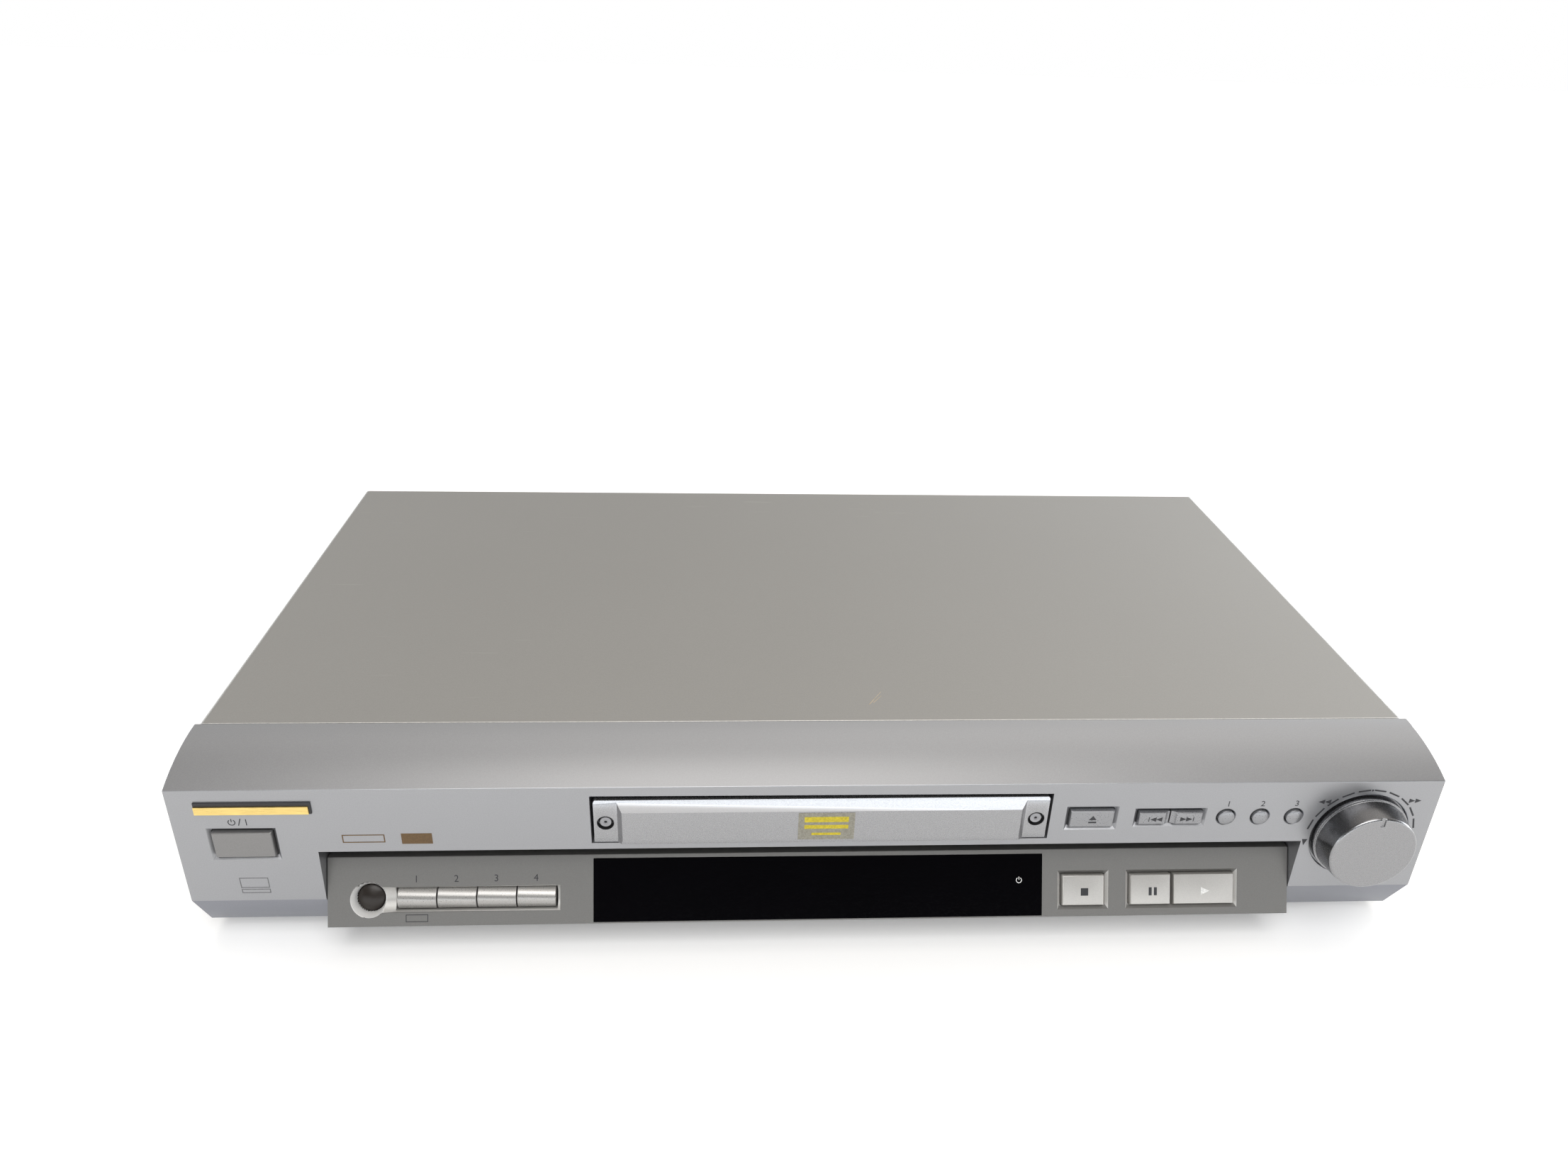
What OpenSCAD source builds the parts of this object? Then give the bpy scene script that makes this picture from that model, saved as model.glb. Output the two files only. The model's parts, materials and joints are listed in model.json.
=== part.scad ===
// Disc player with a motorised tray: a full-width component case with a curved
// brow, a tilted lower control panel, a shuttle dial and a belt-driven loader.
// Millimetres. +Z up, -Y towards the user, origin under the middle of the case.

/* [Case] */
// Width of the moulded fascia
case_w = 430; // [424:1:440]
// Height of the case above its feet
case_h = 68.9; // [68.5:0.1:72]
// Depth from the fascia's front face to the cover's rear edge
case_d = 238.2; // [236:0.2:250]
// Height of the feet
foot_h = 7; // [6:0.5:9]
// Radius of a foot
foot_r = 13; // [10:0.5:15]
// Thickness of the sheet steel of chassis, rear panel and cover
sheet_t = 0.8; // [0.6:0.1:1]
// How far the steel cover stands in from the fascia's sides
cover_inset = 1.1; // [0.6:0.1:2]
// Radius of the cover's long bends
cover_bend_r = 1.8; // [1.4:0.1:3]

/* [Fascia] */
// Wall of the moulded fascia
wall_t = 2.4; // [2:0.1:2.8]
// Height of the curved brow, from the sharp crease to the top
brow_h = 6.3; // [5:0.1:8]
// Depth of the curved brow, from the crease to the cover
brow_d = 29.1; // [28:0.1:31]
// Height of the lower edge of the flat face above the case's underside
chin_h = 16.2; // [14:0.1:18]
// How far the chin leans back at the underside
chin_back = 9; // [7:0.5:11]

/* [Tilted control panel] */
// Width of the fascia left at each end of the control panel
panel_end_w = 45.55; // [43:0.05:48]
// Height of the panel's lower front edge above the case's underside
panel_low_h = 7.55; // [7:0.05:9]
// How far the panel's lower edge stands out in front of the fascia
panel_out = 4.5; // [3:0.1:6]
// Length of the sloping panel face
panel_l = 24.15; // [23.5:0.05:25]
// Lean of the panel face from the vertical, in degrees
panel_tilt = 26.3; // [22:0.1:29]
// Wall of the control panel
panel_t = 2.4; // [2:0.1:2.8]
// Width of the field of controls at each end of the display window
field_w = 90.25; // [86:0.05:100]
// Rim left above and below the display window, together
window_rim = 2.05; // [1.6:0.05:5]

/* [Disc tray] */
// Radius of the recess for the large disc
disc_r = 61; // [60.5:0.1:62]
// Radius of the recess for the small disc
small_disc_r = 41; // [40.5:0.1:42]
// How far the tray opens
tray_travel = 142; // [130:1:143]
// Width of the tray's door
door_w = 154.8; // [140:0.2:170]
// How far the door reaches past the tray at each side
door_over = 3.4; // [2:0.1:4]
// Distance from the fascia's crease down to the door's lower edge
door_drop = 22.9; // [21.5:0.1:23.5]
// Height of the tray's door
door_h = 17.4; // [16.5:0.1:17.6]
// Gap left at each side of the door
door_gap = 0.9; // [0.8:0.1:1.5]
// Gap left above the door
door_top_gap = 1.8; // [1.2:0.1:2]
// How far the middle of the door stands out of the fascia
door_out = 1.2; // [0.6:0.1:2]

/* [Drive] */
// Module of the loader's gears
gear_m = 1; // [1:1:1]
// Teeth of the pinion under the tray
pinion_n = 24; // [22:2:24]
// Teeth of the large wheel on the same hub
wheel_n = 34; // [32:1:35]
// Teeth of the gear on the belt pulley
idler_n = 14; // [14:1:15]
// Groove radius of the large belt pulley
pulley_r = 9; // [8:0.1:9.2]
// Groove radius of the motor's pulley
motor_pulley_r = 3.5; // [3:0.1:4]
// Radius of the turntable
turntable_r = 15; // [13:0.5:16]

/* [Buttons and dial] */
// How far a button stands out
key_out = 1; // [0.6:0.1:1.4]
// How far a button travels
key_travel = 0.8; // [0.5:0.1:1]
// Gap round a button
key_gap = 0.35; // [0.3:0.05:0.5]
// Radius of the shuttle dial's face
dial_r = 15.1; // [13:0.1:16]
// Height of the shuttle dial in front of the fascia
dial_out = 10.4; // [8:0.2:14]

/* [Hidden] */
$fn = 64;

// Clearances and small allowances
fit = 0.05;           // running fit of a shaft in its bore, on the radius
slack = 0.3;          // gap between pieces that only pass each other
through = 1;          // how far a cutter runs past the wall it cuts
screw_r = 1.5;        // shank of an M3 screw
screw_hole_r = 1.6;
head_r = 2.8;
head_h = 1.8;

// Levels of the case, measured from the supporting surface
base_z = foot_h;
top_z = foot_h + case_h;
crease_z = top_z - brow_h;
chin_z = foot_h + chin_h;
brow_r = (brow_d * brow_d + pow(top_z - crease_z, 2)) / (2 * (top_z - crease_z));
floor_z = base_z + sheet_t;

// The jacks reach past the rear panel, the dial past the fascia: the case is
// centred between the two.
jack_out = 8.6;
rear_y = case_d - 2 * sheet_t - 0.2;
front_y = (dial_out - (rear_y + jack_out)) / 2;

// Steel case
cover_w = case_w - 2 * cover_inset;
pan_w = cover_w - 2 * (sheet_t + 0.5);
pan_y = brow_d + slack;
flange_y = pan_y + sheet_t;
pan_flange_h = 16;
lip_h = 10;
side_screws = [62, case_d - 42.2];
side_screw_z = base_z + 10;
lip_screws = [-case_w / 2 + 65, 0, case_w / 2 - 65];
lip_screw_z = top_z - sheet_t - lip_h / 2;
feet_x = case_w / 2 - 37;
feet_y = [48, case_d - 32.2];
foot_seat_z = foot_h - 2.4;
clip_in = [25, 95];                 // from the fascia's side to its clips
clip_w = 14;
rib_xs = [-60, -20, 20, 60];
rib_w = 8;
rib_y = [60, rear_y - 21.4];
rib_h = 1.2;

// Tray mouth and the recess for the control panel
door_low_gap = 0.25;
door_corner_r = 1.1;
door_block_w = 8;
door_bevel_y = 0.45;
mouth_w = door_w + 2 * door_gap;
door_z = crease_z - door_drop;
mouth_z = door_z - door_low_gap;
mouth_h = door_h + door_top_gap + door_low_gap;
strip_h = 2.5;                      // moulded strip between the mouth and the recess
recess_z = mouth_z - strip_h;
panel_w = case_w - 2 * panel_end_w;
recess_w = panel_w + 2 * slack;
recess_d = 14;                      // depth of the strip and of the recess's side walls

// Control panel: its face starts at the lower front edge and leans back
panel_z = base_z + panel_low_h;
panel_rise = panel_l * cos(panel_tilt);
panel_run = panel_l * sin(panel_tilt);
panel_top_y = panel_run - panel_out;
panel_top_z = panel_z + panel_rise;
lower_row = panel_l / 2 - 2.575;    // height of the row of keys on the slope
board_depth = 10;                   // from the panel's face to the board behind it
board_t = 1.6;
front_board_y = brow_d - 11.1;
front_board_z = door_z - 15.7;
front_post_in = 10.4;               // from the fascia's side to the board's bosses
front_post_z = front_board_z + 5;

// Shuttle dial and the power key, [x, z, width, height]
dial_x = case_w / 2 - 25;
dial_z = crease_z - 23.1;
dial_pocket_r = dial_r + 2.3;
dial_pocket_d = 1.5;
hub_r = 6;
power_key = [-case_w / 2 + 22, crease_z - 22, 19.6, 10.4];

// Upper row: its keys are spread over the face between the mouth and the dial,
// and row_gaps tells how the free length is shared out
upper_z = door_z + 8.3;
open_w = 15.4;
skip_size = [11, 5];
skip_pitch = skip_size[0] + 0.4;
mode_r = 2.85;
mode_hole_r = mode_r + 0.3;
row_gaps = [6.8, 8.7, 5.75, 6.4, 6.4, 5.35];
row_w = [open_w, skip_pitch + skip_size[0], 2 * mode_r, 2 * mode_r, 2 * mode_r];
row_start = mouth_w / 2;
row_stretch = (dial_x - dial_pocket_r - row_start - total(row_w)) / total(row_gaps);
function total(v, n = 99) = n > 0 && len(v) > 0
    ? v[0] + total([for (i = [1 : 1 : len(v) - 1]) v[i]], n - 1) : 0;
function row_x(i) = row_start + row_stretch * total(row_gaps, i + 1) + total(row_w, i) + row_w[i] / 2;
open_key = [row_x(0), upper_z, open_w, 7];
skip_xs = [row_x(1) - skip_pitch / 2, row_x(1) + skip_pitch / 2];
mode_xs = [row_x(2), row_x(3), row_x(4)];

// Lower controls, as [x, height along the slope]; they spread with their field
unit = field_w / 90.25;
lower_key_h = panel_l - 13.15;
window_w = panel_w - 2 * field_w;
window_l = panel_l - window_rim;
window_xw = [0.4, window_l / 2 + 0.55];
stop_key = [window_xw[0] + window_w / 2 + 14.9 * unit, lower_row, 15.6 * unit, lower_key_h];
pause_key = [stop_key[0] + 24.4 * unit, lower_row, 14.8 * unit, lower_key_h];
play_key = [pause_key[0] + 19.4 * unit, lower_row, 22.2 * unit, lower_key_h];
memory_xw = [-panel_w / 2 + 13.85 * unit, lower_row - 0.2];
memory_r = 4.6;
dish_r = 6.3;
dish_d = 3;
sound_x0 = memory_xw[0] + 9.3 * unit;
sound_pitch = 13.64 * unit;
sound_h = 7.4;
channel_h = 8.8;
channel_d = 2.2;
channel_end = sound_x0 + 4 * sound_pitch + 1.44;
thick_d = 5;                        // wall behind the channel and the dish
rim = 1.1;                          // sloping border of a button's pocket

// Loader, in the case's frame
tray_y = 4;
tray_w = door_w - 2 * door_over;
tray_held = 54;                     // length of tray left in the frame when it is open
tray_rear_y = tray_y + tray_travel + tray_held;
spindle_y = tray_y + disc_r + 15;
deck_z = door_z - 6.7;
deck_t = 2;
pan_front_h = deck_z + 5 - base_z;
tray_under_z = deck_z + 15;
tray_floor_z = deck_z + 17;
tray_top_z = deck_z + 20;
slot_half = 21;
runner_z = deck_z + 9.5;
runner_w = 3;
runner_gap = 2.6;                   // from the tray's side to the frame's wall
frame_y = [flange_y + 0.8, tray_rear_y + 4];
frame_z = [deck_z - 20, deck_z + 22];
frame_wall = 2.4;
frame_w = tray_w + 2 * (frame_wall + runner_gap);
window_half = 37;
window_y = [spindle_y - 24.8, spindle_y + 98];
post_r = 1.5;
lug_y = [frame_y[0] + 14, frame_y[1] - 14];
lug_x = frame_w / 2 + 6;
gear_z = [deck_z + 6, deck_z + 9];
pinion_z = [deck_z + 10, deck_z + 14.4];
pinion_r = gear_m * pinion_n / 2;
wheel_r = gear_m * wheel_n / 2;
idler_r = gear_m * idler_n / 2;
rack_x = 17 - tray_w / 2;
drive_xy = [rack_x + pinion_r, frame_y[0] + 20];
idler_angle = 135;
idler_xy = drive_xy + (wheel_r + idler_r) * [cos(idler_angle), sin(idler_angle)];
motor_r = 12;
motor_h = 12.5;
motor_xy = [idler_xy[0], frame_y[0] + frame_wall + motor_r + 0.57];
pulley_z = [deck_z + 2.4, deck_z + 5.4];
belt_t = 1.2;
belt_w = 1.6;
gear_backlash = 0.3;
addendum = 0.9;
dedendum = 1.2;
pressure = 20;

// Traverse: the hinged plate that carries spindle, sled and rods
pivot_y = spindle_y + 88;
pivot_z = deck_z + 2;
plate_z = [deck_z, deck_z + 3];
plate_half = 34;
plate_y = [spindle_y - 16, spindle_y + 92];
rod_x = 27;
rod_z = deck_z + 8.2;
rod_r = 1.5;
rod_y = [spindle_y + 11, spindle_y + 79];
screw_x = 19;
screw_thread_r = 1.4;
screw_shaft_r = 0.9;
sled_motor_y = [spindle_y - 4, spindle_y + 11];
lens_y = spindle_y + 25;
sled_y = [spindle_y + 15, spindle_y + 41];
sled_z = [deck_z + 5, deck_z + 12];
cam_y = [spindle_y - 22.4, spindle_y - 20.2];
cam_z = [deck_z - 9, deck_z + 5];
cam_pin_x = 10;
cam_pin_z = deck_z + 1.5;
cam_drop = 6.8;
cam_travel = 12;
disc_z = deck_z + 18.2;
bridge_z = [frame_z[1], frame_z[1] + 2.5];
bridge_y = [spindle_y - 20, spindle_y + 20];
clamper_r = 13.2;

// Electronics; a board is [x0, y0, x1, y1]
board_z = base_z + 9;
board_top_z = board_z + board_t;
board_end_y = rear_y - 7.4;
main_board = [lug_x + 9, 112, case_w / 2 - 9, board_end_y];
cable_mid = main_board[0] + 36;
power_board = [-case_w / 2 + 9, 92, -lug_x - 13, board_end_y];
jack_z = [board_top_z + 9.4, board_top_z + 25.4];
jack_pitch = 16;
jack_r = 4.15;
jack_bore_r = 1.65;
socket_x = main_board[2] - 8.4;
jack_xs = [for (i = [3 : -1 : 0]) socket_x - 25 - i * jack_pitch];
inlet_x = power_board[0] + 30;
inlet_z = base_z + 24;

// Place on a board by its shares of the board's width and depth
function spot(b, u, v) = [b[0] + u * (b[2] - b[0]), b[1] + v * (b[3] - b[1])];

// ---------------------------------------------------------------- helpers

module in_case() translate([0, front_y, 0]) children();

// Local frame of the sloping panel: x across, y into the panel, z up the slope
module on_panel()
    in_case() translate([0, -panel_out, panel_z]) rotate([-panel_tilt, 0, 0]) children();

module block(lo, hi) translate(lo) cube(hi - lo);

// Convex outline, drawn anticlockwise, with every side moved in by t
function inset(p, t) = [for (i = [0 : len(p) - 1])
    let (a = p[(i + len(p) - 1) % len(p)], b = p[i], c = p[(i + 1) % len(p)],
         d1 = (b - a) / norm(b - a), d2 = (c - b) / norm(c - b),
         n1 = [-d1[1], d1[0]], n2 = [-d2[1], d2[0]])
    b + t * (n1 + n2) / (1 + n1 * n2)];

// Prism along X from a profile drawn as [y, z]
module across(w) rotate([90, 0, 90]) translate([0, 0, -w / 2]) linear_extrude(w) children();

// Prism along Z from a profile drawn as [x, y]
module upright(z0, z1) translate([0, 0, z0]) linear_extrude(z1 - z0) children();

// Prism along +Y from a profile drawn as [x, z]
module deep(y0, y1) translate([0, y1, 0]) rotate([90, 0, 0]) linear_extrude(y1 - y0) children();

// Round bar along +Y
module bar_y(r, y0, y1) translate([0, y0, 0]) rotate([-90, 0, 0]) cylinder(r = r, h = y1 - y0);

// Round bar along +X
module bar_x(r, x0, x1) translate([x0, 0, 0]) rotate([0, 90, 0]) cylinder(r = r, h = x1 - x0);

// Turned piece about an axis along Y, its profile drawn as [radius, y]
module turned_y() rotate([-90, 0, 0]) rotate_extrude() children();

module round_rect(w, h, r) {
    square([w - 2 * r, h], center = true);
    square([w, h - 2 * r], center = true);
    for (sx = [-1, 1], sy = [-1, 1])
        translate([sx * (w / 2 - r), sy * (h / 2 - r)]) circle(r);
}

// Rectangle on the axis with its upper corners rounded
module round_top(w, h, r) {
    translate([-w / 2, 0]) square([w, h - r]);
    translate([-w / 2 + r, 0]) square([w - 2 * r, h]);
    for (side = [-1, 1]) translate([side * (w / 2 - r), h - r]) circle(r);
}

// Pan-head screw along +Z, head on top, underside of the head at the origin
module screw(shank) {
    cylinder(r = head_r, h = head_h);
    translate([0, 0, -shank]) cylinder(r = screw_r, h = shank + 0.5);
}

// ---------------------------------------------------------------- gears

function inv(a) = tan(a) * 180 / PI - a;

// Half the angle that a tooth covers at radius r
function half_tooth(n, r) =
    let (pitch_r = gear_m * n / 2, base_r = pitch_r * cos(pressure))
    90 / n - gear_backlash / 4 / pitch_r * 180 / PI + inv(pressure)
    - inv(acos(min(1, base_r / r)));

function gear_points(n) =
    let (pitch_r = gear_m * n / 2,
         base_r = pitch_r * cos(pressure),
         root_r = pitch_r - dedendum * gear_m,
         tip_r = pitch_r + addendum * gear_m,
         mid_r = (base_r + tip_r) / 2,
         radii = [root_r, max(base_r, root_r + 0.05), mid_r, tip_r])
    [for (i = [0 : n - 1], side = [-1, 1], k = [0 : 3])
        let (r = radii[side < 0 ? k : 3 - k], a = 360 * i / n + side * half_tooth(n, r))
        r * [cos(a), sin(a)]];

module gear(n, turn = 0) rotate(turn) polygon(gear_points(n));

// Rack with teeth that point to +X, a gap centred on y = gap_y
module rack(y0, y1, gap_y, back_x) {
    pitch = PI * gear_m;
    half = pitch / 4 - gear_backlash / 4;
    lean = tan(pressure);
    first = ceil((y0 - gap_y) / pitch);
    last = floor((y1 - gap_y) / pitch) - 1;
    root = rack_x - dedendum * gear_m;
    tip = rack_x + addendum * gear_m;
    polygon(concat(
        [[back_x, y1], [back_x, y0], [root, y0]],
        [for (i = [first : last], k = [0 : 3])
            let (y = gap_y + (i + 0.5) * pitch,
                 root_half = half + dedendum * gear_m * lean,
                 tip_half = half - addendum * gear_m * lean)
            [[root, y - root_half], [tip, y - tip_half],
             [tip, y + tip_half], [root, y + root_half]][k]],
        [[root, y1]]));
}

// ---------------------------------------------------------------- buttons

// Front edge of a button or of its pocket seen from the side: s long, with
// bevelled corners and a slightly crowned front
module cap_profile(s, front, back, bevel, crown) {
    crown_r = (s * s / 4 + crown * crown) / (2 * crown);
    intersection() {
        polygon([[-s / 2, back], [-s / 2, front + crown + bevel], [-s / 2 + bevel, front],
                 [s / 2 - bevel, front], [s / 2, front + crown + bevel], [s / 2, back]]);
        translate([0, front + crown_r]) circle(crown_r, $fn = 120);
    }
}

module pillow(w, h, front, back, bevel, crown) intersection() {
    linear_extrude(h, center = true) cap_profile(w, front, back, bevel, crown);
    rotate([0, -90, 0]) linear_extrude(w, center = true)
        cap_profile(h, front, back, bevel, crown);
}

// Moulded rectangular button: crowned cap, flange behind the wall, stem
module key(w, h, wall, stem_end) {
    flange_d = wall + 0.5;
    pillow(w, h, -key_out, flange_d + 0.4, 0.5, 0.35);
    deep(flange_d, flange_d + 0.9) round_rect(w + 1.8, h + 1.8, 0.8);
    bar_y(1.5, flange_d + 0.5, stem_end);
}

// Opening for a button, with its sloping border
module key_hole(w, h, wall) {
    hole_w = w + 2 * key_gap;
    hole_h = h + 2 * key_gap;
    deep(-through, wall + through) round_rect(hole_w, hole_h, 0.6);
    intersection() {
        linear_extrude(hole_h + 4 * rim, center = true) border_profile(hole_w);
        rotate([0, -90, 0]) linear_extrude(hole_w + 4 * rim, center = true)
            border_profile(hole_h);
    }
}

module border_profile(s)
    polygon([[-s / 2 - 2 * rim, -rim], [s / 2 + 2 * rim, -rim], [s / 2, rim], [-s / 2, rim]]);

// Dome-fronted turned button
module round_key(r, front, wall, stem_end) {
    turned_y() {
        intersection() {
            translate([0, front]) square([r, wall + 0.5 - front]);
            translate([0, front + 2.2 * r]) circle(2.2 * r, $fn = 120);
        }
        translate([0, wall + 0.4]) square([r + 0.8, 0.8]);
    }
    bar_y(min(1.4, r / 2), wall + 1, stem_end);
}

// ---------------------------------------------------------------- case

module foot_places()
    for (x = [-feet_x, feet_x], y = feet_y) translate([x, y, 0]) children();

module clip_places()
    for (side = [-1, 1], d = clip_in) translate([side * (case_w / 2 - d), 0, 0]) children();

module loader_posts()
    for (x = [-lug_x, lug_x], y = lug_y) translate([x, y, 0]) children();

module rear_tabs()
    for (x = [-case_w / 2 + 63, case_w / 2 - 63]) translate([x, rear_y - 5, 0]) children();

// Bosses of the fascia that carry the front board
module front_posts()
    for (side = [-1, 1]) translate([side * (case_w / 2 - front_post_in), 0, front_post_z]) children();

// Feet of the control panel on the fascia's floor
module panel_tabs()
    for (side = [-1, 0, 1]) translate([side * (panel_w / 2 - 39.45), recess_d + 4, 0]) children();

// Bosses of the control panel that carry the tilted board
module panel_posts()
    for (x = [-panel_w / 2 + 6.05, channel_end + 5.7, panel_w / 2 - 9.45,
              (stop_key[0] + stop_key[2] / 2 + pause_key[0] - pause_key[2] / 2) / 2])
        translate([x, 0, panel_l / 2]) children();

module board_posts() {
    for (b = [main_board, power_board], x = [b[0] + 5, b[2] - 5], y = [b[1] + 5, b[3] - 12])
        translate([x, y, 0]) children();
}

module chassis_pan() in_case() color("silver") {
    half = pan_w / 2;
    difference() {
        union() {
            block([-half, pan_y, base_z], [half, rear_y + sheet_t, floor_z]);
            for (side = [0, 1]) mirror([side, 0, 0])
                block([half - sheet_t, flange_y + 1, base_z],
                      [half, rear_y - 2, base_z + pan_flange_h]);
            block([-half + 6, pan_y, base_z], [half - 6, flange_y, base_z + pan_front_h]);
            // pressed stiffening ribs
            for (x = rib_xs)
                block([x - rib_w / 2, rib_y[0], base_z], [x + rib_w / 2, rib_y[1], floor_z + rib_h]);
            loader_posts() translate([0, 0, base_z]) cylinder(r = 4, h = frame_z[0] - base_z);
            board_posts() translate([0, 0, base_z]) cylinder(r = 3, h = board_z - base_z);
        }
        for (x = rib_xs)
            block([x - rib_w / 2 + sheet_t, rib_y[0] + sheet_t, base_z - through],
                  [x + rib_w / 2 - sheet_t, rib_y[1] - sheet_t, base_z + rib_h]);
        loader_posts() translate([0, 0, base_z - through])
            cylinder(r = screw_hole_r, h = frame_z[0] - base_z + 2 * through);
        board_posts() translate([0, 0, base_z - through])
            cylinder(r = screw_hole_r, h = board_z - base_z + 2 * through);
        foot_places() translate([0, 0, base_z - through]) cylinder(r = screw_hole_r, h = 4);
        rear_tabs() translate([0, 0, base_z - through]) cylinder(r = screw_hole_r, h = 4);
        for (y = side_screws) translate([0, y, side_screw_z])
            bar_x(screw_hole_r, -half - through, half + through);
        // ventilation slots under the boards
        for (side = [-1, 1], i = [0 : 5], row = [0, 1])
            translate([side * (lug_x + 27 + i * 9), board_end_y - 79 + row * 34, base_z - through])
                linear_extrude(3) round_rect(3.4, 24, 1.6);
        // ways through the front flange for the fascia's clips
        clip_places()
            block([-clip_w / 2 - slack, pan_y - through, floor_z],
                  [clip_w / 2 + slack, flange_y + through, floor_z + 2.4]);
    }
}

module rear_cutouts() {
    for (x = jack_xs, z = jack_z) translate([x, z]) circle(jack_r + 0.95);
    translate([socket_x, jack_z[0]]) circle(6.3);
    translate([socket_x, jack_z[1]]) square([10.4, 9.4], center = true);
    translate([inlet_x, inlet_z]) square([22.4, 15.4], center = true);
    for (i = [0 : 11], row = [0, 1])
        translate([inlet_x + 48 + i * 8, base_z + 33 + row * 16]) round_rect(3, 12, 1.4);
}

module rear_panel() in_case() color("silver") {
    half = pan_w / 2 - sheet_t - slack;
    difference() {
        union() {
            deep(rear_y, rear_y + sheet_t) difference() {
                translate([-half, floor_z + 0.1])
                    square([2 * half, top_z - sheet_t - 0.3 - floor_z]);
                rear_cutouts();
            }
            block([-half + 8, rear_y - 9, floor_z + 0.1],
                  [half - 8, rear_y + 0.1, floor_z + 0.1 + sheet_t]);
        }
        for (x = lip_screws) translate([x, 0, lip_screw_z])
            bar_y(screw_hole_r, rear_y - through, rear_y + sheet_t + through);
        rear_tabs() translate([0, 0, floor_z - through]) cylinder(r = screw_hole_r, h = 4);
    }
}

module top_cover() in_case() color([0.62, 0.61, 0.59]) {
    skirt_z = base_z + 1.2;
    y0 = brow_d + slack;
    difference() {
        union() {
            deep(y0, case_d) translate([0, skirt_z]) difference() {
                round_top(cover_w, top_z - skirt_z, cover_bend_r);
                translate([0, -through])
                    round_top(cover_w - 2 * sheet_t, top_z - skirt_z - sheet_t + through,
                                  cover_bend_r - sheet_t);
            }
            block([-cover_w / 2 + 4, case_d - sheet_t, top_z - sheet_t - lip_h],
                  [cover_w / 2 - 4, case_d, top_z - sheet_t / 2]);
        }
        for (y = side_screws) translate([0, y, side_screw_z])
            bar_x(screw_hole_r, -cover_w / 2 - through, cover_w / 2 + through);
        for (x = lip_screws) translate([x, 0, lip_screw_z])
            bar_y(screw_hole_r, case_d - sheet_t - 0.15, case_d + through);
    }
}

module case_screws() in_case() color("dimgray") {
    for (side = [0, 1], y = side_screws) mirror([side, 0, 0])
        translate([cover_w / 2, y, side_screw_z]) rotate([0, 90, 0]) screw(5);
    for (x = lip_screws) translate([x, case_d, lip_screw_z]) rotate([-90, 0, 0]) screw(5);
    panel_tabs() translate([0, 0, base_z]) rotate([180, 0, 0]) screw(4.6);
    foot_places() translate([0, 0, foot_seat_z]) rotate([180, 0, 0]) screw(6);
}

module feet() in_case() color([0.12, 0.12, 0.13]) foot_places() difference() {
    rotate_extrude() polygon([
        [0, 2], [foot_r - 4, 2], [foot_r - 3, 0], [foot_r - 0.8, 0],
        [foot_r, 0.8], [foot_r - 0.6, foot_h], [0, foot_h]]);
    cylinder(r = head_r + slack, h = foot_seat_z);
    cylinder(r = screw_hole_r, h = foot_h + through);
}

module board_screws() {
    in_case() color("gainsboro") {
        loader_posts() translate([0, 0, frame_z[0] + frame_wall]) screw(8);
        board_posts() translate([0, 0, board_z + board_t]) screw(6);
        rear_tabs() translate([0, 0, floor_z + 0.1 + sheet_t]) screw(3.5);
        front_posts() translate([0, front_board_y + board_t, 0]) rotate([-90, 0, 0]) screw(6);
    }
    on_panel() color("gainsboro") panel_posts()
        translate([0, board_depth + board_t, 0]) rotate([-90, 0, 0]) screw(5);
}

// ---------------------------------------------------------------- front

// Side view of the fascia, shrunk by t on every outer side; it runs on past its
// rear edge by twice t
module fascia_side(t) intersection() {
    rear = brow_d + 3 * t;
    polygon(inset([[0, chin_z], [chin_back, base_z], [rear, base_z], [rear, top_z], [0, top_z]], t));
    union() {
        translate([brow_d, top_z - brow_r]) circle(brow_r - t, $fn = 360);
        translate([brow_d, 0]) square([2 * t + 0.01, top_z - t]);
    }
}

module fascia_shell() difference() {
    across(case_w) intersection() {
        fascia_side(0);
        translate([-through, 0]) square([brow_d + through, top_z]);
    }
    across(case_w - 2 * wall_t) fascia_side(wall_t);
}

// Everything that is cut out of the fascia's front
module fascia_openings() {
    deep(-through, recess_d + through)
        translate([-mouth_w / 2, mouth_z]) square([mouth_w, mouth_h]);
    block([-recess_w / 2, -through, base_z - through], [recess_w / 2, recess_d, recess_z]);
    for (k = [power_key, open_key]) translate([k[0], 0, k[1]]) key_hole(k[2], k[3], wall_t);
    skip_pocket();
    for (x = mode_xs) translate([x, 0, upper_z]) {
        bar_y(mode_hole_r, -through, wall_t + through);
        turned_y() polygon([[0, -0.5], [mode_hole_r + 0.9, -0.5], [mode_hole_r, 0.4], [0, 0.4]]);
    }
    translate([dial_x, 0, dial_z]) {
        bar_y(dial_pocket_r, -through, dial_pocket_d);
        bar_y(hub_r + slack, -through, 8);
    }
}

module skip_pocket() translate([(skip_xs[0] + skip_xs[1]) / 2, 0, upper_z])
    key_hole(skip_pitch + skip_size[0] + 0.1, skip_size[1], wall_t);

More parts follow.
